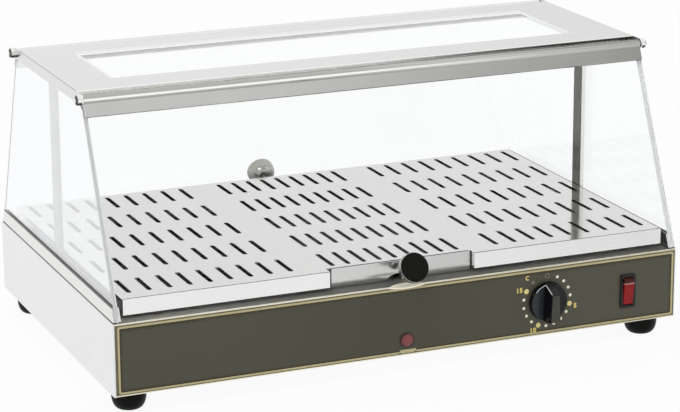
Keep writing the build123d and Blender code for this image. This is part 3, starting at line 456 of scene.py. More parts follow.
def printed_film():
    """Dark olive film: faint mottle, soft gloss, paler scuffs, a darker middle, and edges paler by wear and a
    painted highlight.
    """
    finish, tree, skin = new_finish("fascia_film_print", Metallic=0.0)
    mottle = effect(tree, HAND_SMUDGE, Scale=FILM_MOTTLE_SCALE)
    scuff = effect(tree, SHEET_GRAIN, Stretch=FILM_SCUFF_LINES)
    wear_and_highlight = effect(tree, EDGE_WEAR_AND_HIGHLIGHT, Width=EDGE_WEAR_AND_HIGHLIGHT_W)
    body = tint(tree, mottle, FILM_OLIVE, FILM_MOTTLE)
    body = tint(tree, part_of(tree, scuff, FILM_SCUFF_SHARE), body, FILM_SCUFF)
    body = tint(tree, part_of(tree, FILM_MIDDLE_BAND(tree), FILM_MIDDLE_SHARE), body, FILM_MIDDLE)
    # Edges paler by wear and by a painted highlight
    body = tint(tree, part_of(tree, wear_and_highlight, FILM_EDGE_SHARE), body, FILM_EDGE)
    tree.links.new(body, skin.inputs["Base Color"])
    tree.links.new(spread(tree, mottle, 0.0, 1.0, FILM_SMOOTH, FILM_ROUGH), skin.inputs["Roughness"])
    raise_bump(tree, skin, scuff, FILM_SCUFF_DEPTH, FILM_SCUFF_BUMP)
    show(tree, skin)
    return finish


# Ink: how finely its tone breaks and how slowly it drifts, with their shares in colour and roughness
INK_BREAK_SCALE = 220.0
INK_BREAK_SHARE = 0.5
INK_DRIFT_SCALE = 11.0
INK_DRIFT_SHARE = 0.4
INK_ROUGHER = 0.15


def foil_ink(name, colour, shade, metal=0.0, rough=0.4):
    """Printed line of ink with a slightly broken tone."""
    finish, tree, skin = new_finish(name, Metallic=metal)
    broken = effect(tree, HAND_SMUDGE, Scale=INK_BREAK_SCALE)
    drift = effect(tree, HAND_SMUDGE, Scale=INK_DRIFT_SCALE)
    body = tint(tree, part_of(tree, broken, INK_BREAK_SHARE), colour, shade)
    body = tint(tree, part_of(tree, drift, INK_DRIFT_SHARE), body, shade)
    tree.links.new(body, skin.inputs["Base Color"])
    tree.links.new(spread(tree, broken, 0.0, 1.0, rough, rough + INK_ROUGHER), skin.inputs["Roughness"])
    show(tree, skin)
    return finish


# Places of the pieces, from the frame
rail_low, rail_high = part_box("rail_left")
_, rocker_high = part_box("rocker")
_, frame_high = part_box("top_frame")
drawer_low, drawer_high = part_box("drawer_front")
strip_low, strip_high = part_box("front_door_strip")
window_low, window_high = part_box("window_glass")
dial_low, dial_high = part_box("dial_knob")
_, plate_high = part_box("slotted_plate")
film_low, film_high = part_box("fascia_film")

# Ways that the leaning doors look, from their lean in degrees
FRONT_LEAN = math.radians(23.679)
REAR_LEAN = math.radians(20.663)
FRONT_PANE_WAY = (0.0, -math.cos(FRONT_LEAN), math.sin(FRONT_LEAN))
REAR_PANE_WAY = (0.0, math.cos(REAR_LEAN), math.sin(REAR_LEAN))

# Faces of any piece, by the way that they look
EVERYWHERE = facing(UP, -2.0, -1.5)
LEVEL = facing(UP, 0.9, 0.97)
SIDEWAYS = either(facing(LEFT, 0.6, 0.95), facing(RIGHT, 0.6, 0.95))

# Painted light and shade that come in along the case: wide bands whose soft edge lies on the piece
TO_THE_RIGHT = band(RIGHT, middle=0.8, half=0.7, soft=0.286)
TO_THE_MIDDLE = band(RIGHT, middle=0.15, half=0.30, soft=0.3)
STRIP_LEFT = band(RIGHT, middle=-0.6, half=0.68, soft=0.15)
STRIP_RIGHT = band(RIGHT, middle=0.6, half=0.48, soft=0.2)

# Rails and hot plate: dark sealant at a rail's top with painted shade of the gap at its foot, the plate's
# front, painted shade on its bend and in its joint at the right
SEALANT_AND_GAP_SHADE = either(band(UP, middle=rail_low.z, half=1.3 * MM), band(UP, middle=rail_high.z, half=0.6 * MM))
PLATE_FRONT = facing(FRONT, 0.8, 0.9)
PLATE_BEND_SHADE = facing((0.0, -0.6, 0.8), 0.86, 0.94)
PLATE_JOINT_SHADE = overlap(band(RIGHT, middle=plate_high.x, half=1.1 * MM), facing(UP, 0.3, 0.6))

# Fascia and drawer: the folded ledge, which is painted dark as shade, and the ends of the drawer front, which
# take painted shade
LEDGE = facing(UP, 0.975, 0.99)
DRAWER_END_SHADE = either(SIDEWAYS, band(RIGHT, middle=drawer_low.x + 2.0 * MM, half=2.1 * MM),
                     band(RIGHT, middle=drawer_high.x, half=0.6 * MM))

# Top frame: painted shade on its front flange, with a dark line, and on its left bend, and the cut edge round
# the window painted pale and matt as painted light
FLANGE_FRONT = facing(FRONT, 0.88, 0.96)
FLANGE_SHADE_LINE = overlap(FLANGE_FRONT, band(UP, middle=frame_high.z - 2.1 * MM, half=1.0 * MM, soft=0.3))
LEFT_BEND_SHADE = facing((-0.55, 0.0, 0.835), 0.92, 0.975)
OPENING_CLEAR = 12.0 * MM
WINDOW_MIDDLE_Y = (window_low.y + window_high.y) / 2
WINDOW_DEPTH = window_high.y - window_low.y
CUT_EDGE_PAINTED_LIGHT = overlap(band(RIGHT, middle=0.0, half=window_high.x - OPENING_CLEAR / 2, soft=0.02),
                   band(REAR, middle=WINDOW_MIDDLE_Y, half=(WINDOW_DEPTH - OPENING_CLEAR) / 2, soft=0.04),
                   either(facing(FRONT, 0.7, 0.9), SIDEWAYS, facing(REAR, 0.7, 0.9)))

# Door strips and hinge caps: painted reflection, highlight and shade on the rolled barrel from its top down,
# the strip's darker foot, the rear strip's inside painted pale as painted light, and a cap's painted shade
# with dark reflected rings
BARREL_TOP = facing(UP, 0.60, 0.78)
BARREL_FRONT_REFLECTION = overlap(STRIP_LEFT, facing(FRONT, -0.3, 0.05),
                       band(UP, middle=strip_high.z - 0.6 * MM, half=2.2 * MM, soft=0.2))
BARREL_FOOT_HIGHLIGHT = overlap(STRIP_LEFT, band(UP, middle=strip_high.z - 3.9 * MM, half=1.1 * MM, soft=0.25))
BARREL_NIP_SHADE = overlap(STRIP_LEFT, band(UP, middle=strip_high.z - 6.2 * MM, half=1.2 * MM, soft=0.4))
STRIP_FOOT = band(UP, middle=strip_low.z, half=1.3 * MM)
REAR_STRIP_INSIDE = facing(FRONT, 0.6, 0.8)
CAP_REFLECTED_RINGS = [overlap(facing(way, 0.45, 0.55), facing(way, 0.80, 0.70)) for way in (LEFT, RIGHT)]
CAP_PAINTED_SHADE = either(facing(DOWN, 0.15, 0.4), facing(REAR, 0.55, 0.75), *CAP_REFLECTED_RINGS)

# Knobs, dial and rocker: the front knob's dark face, painted shade under the rear knob, a painted reflection
# on the grip's front, painted light on the skirt left of it, and painted shade with a highlight line at the
# rocker's upper end
FRONT_KNOB_FACE = facing(FRONT_PANE_WAY, 0.45, 0.70)
REAR_KNOB_UNDERSIDE_SHADE = facing(DOWN, -0.3, 0.4)
SKIRT_T = 5.0 * MM
SKIRT_Y = dial_high.y - SKIRT_T
DIAL_FLATS = facing(FRONT, 0.95, 0.99)
GRIP_FRONT_REFLECTION = overlap(DIAL_FLATS, band(REAR, middle=dial_low.y, half=1.0 * MM))
SKIRT_LEFT_LIGHT = overlap(DIAL_FLATS, band(REAR, middle=SKIRT_Y, half=1.0 * MM),
                     band(RIGHT, middle=dial_low.x + 6.0 * MM, half=7.5 * MM))
ROCKER_BEND = rocker_high.z - 6.0 * MM
ROCKER_END_SHADE = band(UP, middle=(ROCKER_BEND + rocker_high.z) / 2, half=(rocker_high.z - ROCKER_BEND) / 2)
ROCKER_HIGHLIGHT_LINE = band(UP, middle=ROCKER_BEND, half=0.45 * MM)

# Finishes of the material slots: colour, its shade, roughness and grain
FINISHES = {
    "casing_steel": brushed_sheet("casing_sheet", (0.82, 0.825, 0.83), (0.77, 0.775, 0.78), 0.22, ALONG_Y),
    "inner_steel": brushed_sheet("inner_sheet", (0.060, 0.058, 0.055), (0.040, 0.038, 0.036), 0.42, ALONG_X,
                                 smudge=25.0, dusty=0.03),
    # Hot plate: painted shade: its top darker than its lips, the lips darker towards the right, a dark line
    # on the bend and a dark line in the joint at the right
    "plate_steel": brushed_sheet("hot_plate_sheet", (0.86, 0.86, 0.85), (0.81, 0.81, 0.795), 0.09, ALONG_X,
                                 smudge=10.0, dusty=0.06, tones=[
                                     (LEVEL, (0.665, 0.668, 0.65)),
                                     (overlap(PLATE_FRONT, TO_THE_RIGHT), (0.75, 0.75, 0.735)),
                                     (PLATE_BEND_SHADE, (0.24, 0.24, 0.23)),
                                     (PLATE_JOINT_SHADE, (0.12, 0.118, 0.108))]),
    "trim_steel": brushed_sheet("trim_sheet", (0.80, 0.795, 0.775), (0.74, 0.735, 0.715), 0.18, ALONG_X,
                                dusty=0.08),
    "polished_steel": brushed_sheet("turned_chrome", (0.84, 0.84, 0.83), (0.76, 0.76, 0.75), 0.07,
                                    even_grain(700.0), smudge=60.0, bump=0.01),
    "zinc_fastener": brushed_sheet("zinc_fastener", (0.62, 0.63, 0.64), (0.50, 0.50, 0.50), 0.33,
                                   even_grain(500.0), smudge=90.0),
    "element_sheath": brushed_sheet("element_sheath", (0.10, 0.095, 0.09), (0.06, 0.056, 0.052), 0.5,
                                    even_grain(300.0), smudge=50.0, dusty=0.03),
    "copper_bulb": brushed_sheet("bulb_copper", (0.72, 0.43, 0.29), (0.50, 0.27, 0.17), 0.3,
                                 even_grain(500.0), smudge=70.0),
    "spindle_steel": brushed_sheet("spindle_steel", (0.66, 0.66, 0.66), (0.54, 0.54, 0.54), 0.26,
                                   even_grain(900.0)),
    "fascia_print": printed_film(),
    "foot_rubber": moulded("foot_rubber", (0.003, 0.003, 0.0025), (0.005, 0.005, 0.004), 0.42,
                           bump=0.12, dusty=0.05, Specular_IOR_Level=0.1),
    "black_plastic": moulded("black_moulding", (0.003, 0.003, 0.004), (0.005, 0.005, 0.006), 0.16,
                             dusty=0.0, Specular_IOR_Level=0.35),
    # Rocker: painted shade on its upper end, and a painted highlight line below it
    "rocker_red": moulded("rocker_moulding", (0.26, 0.008, 0.009), (0.30, 0.012, 0.013), 0.24,
                          dusty=0.0, Specular_IOR_Level=0.2, tones=[
                              (ROCKER_END_SHADE, (0.060, 0.014, 0.011)),
                              (ROCKER_HIGHLIGHT_LINE, (0.62, 0.30, 0.30))]),
    "lamp_bezel": moulded("lamp_ring_moulding", (0.050, 0.012, 0.011), (0.070, 0.018, 0.016), 0.25,
                          dusty=0.1),
    "lamp_red": moulded("lamp_lens_moulding", (0.21, 0.040, 0.042), (0.25, 0.055, 0.057), 0.35, dusty=0.0),
    "terminal_white": moulded("terminal_moulding", (0.80, 0.78, 0.72), (0.70, 0.68, 0.62), 0.35),
}

# Finishes that two nodes share
# Posts: painted light and shade, the post towards the right lighter and the sides darker
POST_BAR_LIT_AND_SHADED = brushed_sheet("post_bar_painted_light", (0.26, 0.258, 0.245), (0.21, 0.208, 0.195), 0.20, ALONG_Z,
                         smudge=18.0, dusty=0.05, tones=[
                             (TO_THE_RIGHT, (0.82, 0.82, 0.805)),
                             (SIDEWAYS, (0.115, 0.112, 0.098))])
# Rails: a dark line of sealant at the top, and painted shade of the gap along the foot
RAIL_SHEET = brushed_sheet("rail_sheet", (0.80, 0.80, 0.78), (0.74, 0.74, 0.72), 0.22, ALONG_Y,
                           dusty=0.05, tones=[(SEALANT_AND_GAP_SHADE, (0.05, 0.049, 0.044))])
# Drawer tray: painted shade, dark steel where the tray lies in shadow under the plate
TRAY_SHADE_SHEET = brushed_sheet("tray_painted_shade_sheet", (0.035, 0.034, 0.031), (0.025, 0.024, 0.022), 0.35, ALONG_Y,
                           dusty=0.03)

# Finishes of single nodes, which go before those of their slots
OWN_FINISH = {
    # Fascia: painted shade, darker towards the right, with the ledge painted dark as shade and darkest in the
    # middle
    "fascia": brushed_sheet("fascia_sheet", (0.90, 0.86, 0.72), (0.86, 0.82, 0.68), 0.20, ALONG_X,
                            dusty=0.0, matt=LEDGE, tones=[
                                (TO_THE_RIGHT, (0.64, 0.59, 0.45)),
                                (LEDGE, (0.18, 0.176, 0.158)),
                                (overlap(LEDGE, TO_THE_MIDDLE), (0.085, 0.083, 0.072))]),
    # Drawer front: painted shade, darker towards the right and dark on its ends and sides
    "drawer_front": brushed_sheet("drawer_front_sheet", (0.68, 0.68, 0.665), (0.61, 0.61, 0.595), 0.17,
                                  ALONG_X, tones=[
                                      (TO_THE_RIGHT, (0.44, 0.44, 0.425)),
                                      (DRAWER_END_SHADE, (0.03, 0.03, 0.028))]),
    # Top frame: painted light and shade: the top darker than the bends and darker still towards the right,
    # the flange darker at the right with a dark line, a dark line on the left bend, the sides darker and the
    # cut edge pale
    "top_frame": brushed_sheet("top_frame_sheet", (0.93, 0.93, 0.92), (0.89, 0.89, 0.88), 0.16, ALONG_X,
                               dusty=0.05, matt=CUT_EDGE_PAINTED_LIGHT, tones=[
                                   (LEVEL, (0.685, 0.69, 0.695)),
                                   (overlap(LEVEL, TO_THE_RIGHT), (0.61, 0.617, 0.61)),
                                   (overlap(STRIP_RIGHT, FLANGE_FRONT), (0.48, 0.478, 0.455)),
                                   (overlap(STRIP_RIGHT, FLANGE_SHADE_LINE), (0.14, 0.14, 0.13)),
                                   (LEFT_BEND_SHADE, (0.20, 0.20, 0.195)),
                                   (SIDEWAYS, (0.725, 0.725, 0.72)),
                                   (CUT_EDGE_PAINTED_LIGHT, (0.93, 0.935, 0.94))]),
    # Glass ledges: painted pale and matt as painted light, so that they look lit under the window's lips
    "glass_ledges": brushed_sheet("glazing_tape_ledge", (0.92, 0.925, 0.93), (0.88, 0.885, 0.89), 0.30,
                                  ALONG_X, dusty=0.0, matt=EVERYWHERE),
    # Front strip: painted reflection and shade: darker towards the right with a dark barrel top there, and
    # down the barrel at the left a grey band, a white highlight and a dark line, over a darker foot
    "front_door_strip": brushed_sheet("front_strip_sheet", (0.79, 0.788, 0.775), (0.74, 0.738, 0.725), 0.11,
                                      ALONG_X, dusty=0.0, tones=[
                                          (TO_THE_RIGHT, (0.44, 0.438, 0.42)),
                                          (overlap(STRIP_RIGHT, BARREL_TOP), (0.30, 0.30, 0.285)),
                                          (BARREL_FRONT_REFLECTION, (0.45, 0.45, 0.438)),
                                          (BARREL_FOOT_HIGHLIGHT, (0.95, 0.95, 0.93)),
                                          (BARREL_NIP_SHADE, (0.46, 0.458, 0.44)),
                                          (STRIP_FOOT, (0.42, 0.418, 0.40))]),
    # Rear strip: its inside painted pale and matt as painted light
    "rear_door_strip": brushed_sheet("rear_strip_sheet", (0.80, 0.80, 0.79), (0.76, 0.76, 0.75), 0.18,
                                     ALONG_X, dusty=0.0, matt=REAR_STRIP_INSIDE,
                                     tones=[(REAR_STRIP_INSIDE, (0.94, 0.945, 0.95))]),
    # Hinge caps: painted shade on the lower and rear sides, and dark rings as painted reflection
    "hinge_caps": brushed_sheet("cap_chrome", (0.84, 0.84, 0.83), (0.76, 0.76, 0.75), 0.07, even_grain(700.0),
                                smudge=60.0, bump=0.01, tones=[(CAP_PAINTED_SHADE, (0.035, 0.035, 0.033))]),
    "front_door_knob": brushed_sheet("front_knob_nickel", (0.46, 0.452, 0.43), (0.36, 0.352, 0.335), 0.12,
                                     even_grain(700.0), smudge=70.0, bump=0.01, dusty=0.0,
                                     tones=[(FRONT_KNOB_FACE, (0.012, 0.012, 0.011))]),
    # Rear knob: painted shade and dark reflection on its underside
    "rear_door_knob": brushed_sheet("rear_knob_nickel", (0.42, 0.412, 0.385), (0.26, 0.254, 0.232), 0.12,
                                    even_grain(700.0), smudge=130.0, bump=0.01, dusty=0.0,
                                    tones=[(REAR_KNOB_UNDERSIDE_SHADE, (0.10, 0.098, 0.088))]),
    # Dial: a painted reflection on the grip's front and painted light on the skirt left of it
    "dial_knob": moulded("dial_moulding", (0.003, 0.003, 0.004), (0.004, 0.004, 0.005), 0.18,
                         dusty=0.0, Specular_IOR_Level=0.3, tones=[
                             (GRIP_FRONT_REFLECTION, (0.050, 0.050, 0.038)),
                             (SKIRT_LEFT_LIGHT, (0.020, 0.027, 0.033))]),
    "drawer_floor": TRAY_SHADE_SHEET,
    "drawer_rim": TRAY_SHADE_SHEET,
    "rail_left": RAIL_SHEET,
    "rail_right": RAIL_SHEET,
    "post_left": POST_BAR_LIT_AND_SHADED,
    "post_right": POST_BAR_LIT_AND_SHADED,
    "front_door_pane": clear_pane("front_door_glass", FRONT_PANE_WAY),
    "rear_door_pane": clear_pane("rear_door_glass", REAR_PANE_WAY),
    "window_glass": clear_pane("window_pane_glass", UP),
    "side_pane_left": clear_pane("left_pane_glass", RIGHT, sheen_share=0.58),
    "side_pane_right": clear_pane("right_pane_glass", RIGHT),
}
PANE_NODES = ("front_door_pane", "rear_door_pane", "window_glass", "side_pane_left", "side_pane_right")

# Finishes of what is printed and stuck on
# White tape: painted light over the shade under the window's lips
TAPE_PAINTED_LIGHT_FINISH = moulded("glazing_tape_painted_light", (0.97, 0.975, 0.985), (0.95, 0.955, 0.97), 0.5, bump=0.02, dusty=0.0,
                      Specular_IOR_Level=0.3)
GOLD_INK = foil_ink("gold_ink", (0.53, 0.475, 0.265), (0.45, 0.40, 0.21), metal=0.2)
DOT_INK = foil_ink("dot_ink", (0.93, 0.91, 0.72), (0.86, 0.82, 0.58))
LARGE_DOT_INK = foil_ink("large_dot_ink", (0.85, 0.74, 0.30), (0.74, 0.62, 0.22))
NUMBER_INK = foil_ink("number_ink", (0.82, 0.66, 0.20), (0.70, 0.54, 0.13))
EDGE_INK = foil_ink("edge_ink", (0.135, 0.120, 0.068), (0.105, 0.090, 0.045), rough=0.5)
DARK_INK = foil_ink("dark_ink", (0.030, 0.022, 0.006), (0.042, 0.033, 0.012), rough=0.5)
SHADE_INK = foil_ink("shade_ink", (0.055, 0.048, 0.026), (0.062, 0.055, 0.034), rough=0.48)
GREY_INK = foil_ink("grey_ink", (0.20, 0.19, 0.165), (0.16, 0.15, 0.13), rough=0.45)
# White ink for the painted highlights on the dial
HIGHLIGHT_INK = foil_ink("painted_highlight_ink", (0.72, 0.72, 0.73), (0.55, 0.55, 0.56))


def dress_cad_nodes():
    """Each solid takes its own finish, or else the finish of its material slot."""
    for row in frame["record"]["subparts"]:
        name = row["node"]
        solid = nodes[name].data
        solid.materials.clear()
        solid.materials.append(OWN_FINISH.get(name) or FINISHES[row["material_slot"]])
    for name in PANE_NODES:
        nodes[name].visible_shadow = False


def keep_mesh(name, mesh, finish, body):
    piece = bpy.data.objects.new(name, mesh)
    bpy.context.scene.collection.objects.link(piece)
    mesh.materials.clear()
    mesh.materials.append(finish)
    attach(piece, body)


# Print on the fascia's film, the round dip of the finger scoop into it, and how near points are joined
PRINT_Y = film_low.y
INK_T = 0.05 * MM
MARK_T = 2 * INK_T
SCOOP_HALF = 20.2 * MM
SCOOP_DIP = 2.46 * MM
SCOOP_DRAWN = 1.05 * SCOOP_HALF
SCOOP_STEPS = 16
WELD_REACH = 1e-7


def lift_print(outlines, name, finish, body="case", y=PRINT_Y, thickness=INK_T):
    """Thin closed print from flat faces given as lists of (x, z) points, standing on the plane at y."""
    work = bmesh.new()
    for outline in outlines:
        work.faces.new([work.verts.new((x, y, z)) for x, z in outline])
    bmesh.ops.remove_doubles(work, verts=work.verts, dist=WELD_REACH)
    bmesh.ops.recalc_face_normals(work, faces=work.faces)
    raised = bmesh.ops.extrude_face_region(work, geom=work.faces[:])
    lifted = [part for part in raised["geom"] if isinstance(part, bmesh.types.BMVert)]
    bmesh.ops.translate(work, verts=lifted, vec=(0.0, -thickness, 0.0))
    bmesh.ops.recalc_face_normals(work, faces=work.faces)
    mesh = bpy.data.meshes.new(name)
    work.to_mesh(mesh)
    work.free()
    keep_mesh(name, mesh, finish, body)


def turned_points(centre, radius, start, end, steps=6):
    """Points along an arc, anticlockwise from the right, in degrees."""
    turns = [math.radians(start + (end - start) * i / steps) for i in range(steps + 1)]
    return [(centre[0] + radius * math.cos(t), centre[1] + radius * math.sin(t)) for t in turns]


def disc(centre, radius, steps=20):
    return turned_points(centre, radius, 0, 360, steps)[:-1]


def panel(left, right, low, top):
    return [(left, low), (right, low), (right, top), (left, top)]


def ring_faces(outer, inner):
    """Faces between two closed outlines with as many points each."""
    count = len(outer)
    return [[outer[i], outer[(i + 1) % count], inner[(i + 1) % count], inner[i]] for i in range(count)]


def arc_faces(centre, radius, width, start, end, steps=16):
    """Faces of a line of a given width along an arc."""
    outer = turned_points(centre, radius + width / 2, start, end, steps)
    inner = turned_points(centre, radius - width / 2, start, end, steps)
    return [[outer[i], outer[i + 1], inner[i + 1], inner[i]] for i in range(steps)]


# Outlines of the lines round the fascia, from the outside in: how far they lie inside the film's left,
# right, lower and upper edge, their corner radius and their room under the scoop, in millimetres
BORDER_OUTLINES = (
    (0.05, 0.05, 0.05, 0.05, 0.6, 0.04),
    (2.4, 1.4, 1.1, 1.2, 2.4, 0.12),
    (4.3, 3.3, 2.9, 3.3, 1.4, 0.30),
    (5.7, 4.8, 4.5, 5.2, 1.0, 0.40),
    (7.2, 6.4, 6.0, 7.0, 0.8, 0.50),
)
BORDER_LINES = (("fascia_edge_line", EDGE_INK), ("fascia_gold_line", GOLD_INK),
                ("fascia_dark_line", DARK_INK), ("fascia_shade_line", SHADE_INK))

# Gold bar under the lamp and the dark marks at its ends: from the case's middle, and up from the film's
# lower edge
BAR_LEFT, BAR_RIGHT = -7.5 * MM, 9.7 * MM
BAR_LOW, BAR_TOP = 1.0 * MM, 4.6 * MM
BAR_END_LEFTS = (-8.4 * MM, 8.0 * MM)
BAR_END_W = 2.4 * MM
BAR_END_LOW, BAR_END_TOP = 0.3 * MM, 1.6 * MM
BAR_END_T = 3 * INK_T


def border_outline(in_left, in_right, in_low, in_top, radius, clip):
    """Rounded outline inside the film's edge, trimmed by the round dip under the finger scoop."""
    left, right = film_low.x + in_left, film_high.x - in_right
    low, top = film_low.z + in_low, film_high.z - in_top
    outline = turned_points((left + radius, low + radius), radius, 180, 270)
    outline += turned_points((right - radius, low + radius), radius, 270, 360)
    outline += turned_points((right - radius, top - radius), radius, 0, 90)
    for step in range(SCOOP_STEPS + 1):
        x = SCOOP_DRAWN * (1 - 2 * step / SCOOP_STEPS)
        dip = film_high.z - SCOOP_DIP * (1 - (x / SCOOP_HALF) ** 2) - clip
        outline.append((x, min(top, dip)))
    outline += turned_points((left + radius, top - radius), radius, 90, 180)
    return outline


def print_border():
    """Lines round the fascia: a thin dark one, a gold one, a dark brown one and a fading shade."""
    outlines = [border_outline(*(size * MM for size in sizes)) for sizes in BORDER_OUTLINES]
    for (name, ink), outer, inner in zip(BORDER_LINES, outlines, outlines[1:]):
        lift_print(ring_faces(outer, inner), name, ink)
    foot = film_low.z
    bar = panel(BAR_LEFT, BAR_RIGHT, foot + BAR_LOW, foot + BAR_TOP)
    lift_print([bar], "fascia_gold_bar", GOLD_INK, thickness=MARK_T)
    ends = [panel(left, left + BAR_END_W, foot + BAR_END_LOW, foot + BAR_END_TOP) for left in BAR_END_LEFTS]
    lift_print(ends, "fascia_bar_ends", DARK_INK, thickness=BAR_END_T)


# Marks round the dial: turns clockwise from the top in degrees, and distances from the dial's middle.
# The ends of the arc mark are counted anticlockwise from its right
DIAL_X = (dial_low.x + dial_high.x) / 2
DIAL_Z = (dial_low.z + dial_high.z) / 2
MARK_RING = 26.1 * MM
DOT_COUNT = 15
NUMBERED_EVERY = 5
FIRST_DOT_TURN = 25.5
DOT_TURN = 19.5
DOT_R = 1.6 * MM
NUMBER_DOT_R = 2.6 * MM
GREY_DOT_TURN = 322.8
GREY_DOT_R = 2.0 * MM
OFF_MARK_R = 2.3 * MM
OFF_MARK_W = 0.8 * MM
ARC_MARK_TURN = 320.4
ARC_MARK_RING = 34.1 * MM
ARC_MARK_R = 1.9 * MM
ARC_MARK_W = 1.1 * MM
ARC_MARK_START, ARC_MARK_END = 50, 310
NUMBERS = (("5", 106.3, 33.1 * MM), ("10", 207.6, 33.0 * MM), ("15", 294.7, 34.0 * MM))
NUMBER_SIZE = 6.4 * MM
NUMBER_SPACING = 1.2
NUMBER_BOLD = 0.32 * MM


def around_dial(turn, radius):
    t = math.radians(turn)
    return (DIAL_X + radius * math.sin(t), DIAL_Z + radius * math.cos(t))


def print_dial_marks():
    """Off mark, setting dots with their numbers, a grey dot and a short arc round the dial."""
    small, large = [], []
    for index in range(1, DOT_COUNT + 1):
        spot = around_dial(FIRST_DOT_TURN + DOT_TURN * (index - 1), MARK_RING)
        if index % NUMBERED_EVERY == 0:
            large.append(disc(spot, NUMBER_DOT_R))
        else:
            small.append(disc(spot, DOT_R))
    lift_print(small, "dial_setting_dots", DOT_INK, thickness=MARK_T)
    lift_print(large, "dial_number_dots", LARGE_DOT_INK, thickness=MARK_T)
    grey_dot = disc(around_dial(GREY_DOT_TURN, MARK_RING), GREY_DOT_R)
    lift_print([grey_dot], "dial_grey_dot", GREY_INK, thickness=MARK_T)
    off_mark = arc_faces(around_dial(0.0, MARK_RING), OFF_MARK_R, OFF_MARK_W, 0, 360, steps=24)
    lift_print(off_mark, "dial_off_mark", GREY_INK, thickness=MARK_T)
    arc_mark = arc_faces(around_dial(ARC_MARK_TURN, ARC_MARK_RING), ARC_MARK_R, ARC_MARK_W,
                         ARC_MARK_START, ARC_MARK_END)
    lift_print(arc_mark, "dial_arc_mark", NUMBER_INK, thickness=MARK_T)
    for words, turn, radius in NUMBERS:
        print_number(words, around_dial(turn, radius))


def print_number(words, centre):
    name = f"dial_number_{words}"
    curve = bpy.data.curves.new(name, "FONT")
    curve.body = words
    curve.size = NUMBER_SIZE
    curve.space_character = NUMBER_SPACING
    curve.align_x = "CENTER"
    curve.align_y = "CENTER"
    curve.extrude = INK_T
    curve.offset = NUMBER_BOLD
    flat = bpy.data.objects.new(name, curve)
    bpy.context.scene.collection.objects.link(flat)
    bpy.context.view_layer.update()
    mesh = bpy.data.meshes.new_from_object(flat.evaluated_get(bpy.context.evaluated_depsgraph_get()))
    bpy.data.objects.remove(flat)
    stand = Matrix.Rotation(math.pi / 2, 4, "X")
    mesh.transform(Matrix.Translation((centre[0], PRINT_Y - INK_T, centre[1])) @ stand)
    mesh.name = name
    keep_mesh(name, mesh, NUMBER_INK, "case")


# Painted highlights on the dial, drawn as white lines: along the rim of its skirt, in degrees anticlockwise
# from the right, and up the grip's slope from a foot to a head, placed from the dial's middle
RIM_LINE_R = 18.95 * MM
RIM_LINE_W = 0.75 * MM
RIM_LINE_T = 0.08 * MM
RIM_LINE_START, RIM_LINE_END = 104, 142
POINTER_FOOT_X, POINTER_FOOT_Z = -4.55 * MM, 18.6 * MM
POINTER_HEAD_X, POINTER_HEAD_Z = -3.75 * MM, 11.76 * MM
POINTER_RISE = 12.6 * MM
POINTER_HALF_W = 0.45 * MM
POINTER_T = 0.1 * MM
GRIP_SLOPE_WAY = (0.0, -0.477, 0.879)


def paint_dial_highlights():
    """Painted highlights: a white line down the edge of the grip's slope, and a white line round the rim
    beside it.
    """
    rim = arc_faces((DIAL_X, DIAL_Z), RIM_LINE_R, RIM_LINE_W, RIM_LINE_START, RIM_LINE_END, steps=14)
    lift_print(rim, "dial_rim_highlight", HIGHLIGHT_INK, body="dial", y=SKIRT_Y, thickness=RIM_LINE_T)
    foot = Vector((DIAL_X + POINTER_FOOT_X, SKIRT_Y, DIAL_Z + POINTER_FOOT_Z))
    head = Vector((DIAL_X + POINTER_HEAD_X, SKIRT_Y - POINTER_RISE, DIAL_Z + POINTER_HEAD_Z))
    across = Vector((POINTER_HALF_W, 0.0, 0.0))
    lift = Vector(GRIP_SLOPE_WAY) * POINTER_T
    base = [foot - across, foot + across, head + across, head - across]
    points = [p - 2 * lift for p in base] + [p + lift for p in base]
    sides = [(i, (i + 1) % 4, (i + 1) % 4 + 4, i + 4) for i in range(4)]
    mesh = bpy.data.meshes.new("dial_pointer_highlight")
    mesh.from_pydata(points, [], [(3, 2, 1, 0), (4, 5, 6, 7)] + sides)
    keep_mesh("dial_pointer_highlight", mesh, HIGHLIGHT_INK, "dial")


# Glazing tape, white as painted light over the shade under the lips: the frame's lap over the glass, the
# tape's gap to the lip, its widths and thickness
GLASS_LAP = 9.0 * MM
TAPE_GAP = 0.1 * MM
TAPE_W = 5.2 * MM
REAR_TAPE_W = 9.5 * MM
TAPE_T = 0.06 * MM


def tape_window():
    """White glazing tape on the glass along the lips of the window, painted light over the shade under them
    and, wider at the rear, over the shaded inside of the rear strip.
    """
    rings = []
    for width, rear_width in ((TAPE_GAP, TAPE_GAP), (TAPE_W, REAR_TAPE_W)):
        left, right = window_low.x + GLASS_LAP + width, window_high.x - GLASS_LAP - width
        front, rear = window_low.y + GLASS_LAP + width, window_high.y - GLASS_LAP - rear_width
        rings.append(panel(left, right, front, rear))
    base = window_high.z
    points = [(x, y, z) for z in (base, base + TAPE_T) for ring in rings for x, y in ring]
    # Four corners each: the rings below come first, then the same rings on top
    outer, inner, outer_top, inner_top = range(0, 16, 4)
    skins = ((outer_top, inner_top), (inner, outer), (outer, outer_top), (inner_top, inner))
    runs = [(i, (i + 1) % 4) for i in range(4)]
    faces = [(a + i, a + j, b + j, b + i) for i, j in runs for a, b in skins]
    mesh = bpy.data.meshes.new("window_tape_painted_light")
    mesh.from_pydata(points, [], faces)
    keep_mesh("window_tape_painted_light", mesh, TAPE_PAINTED_LIGHT_FINISH, "case")


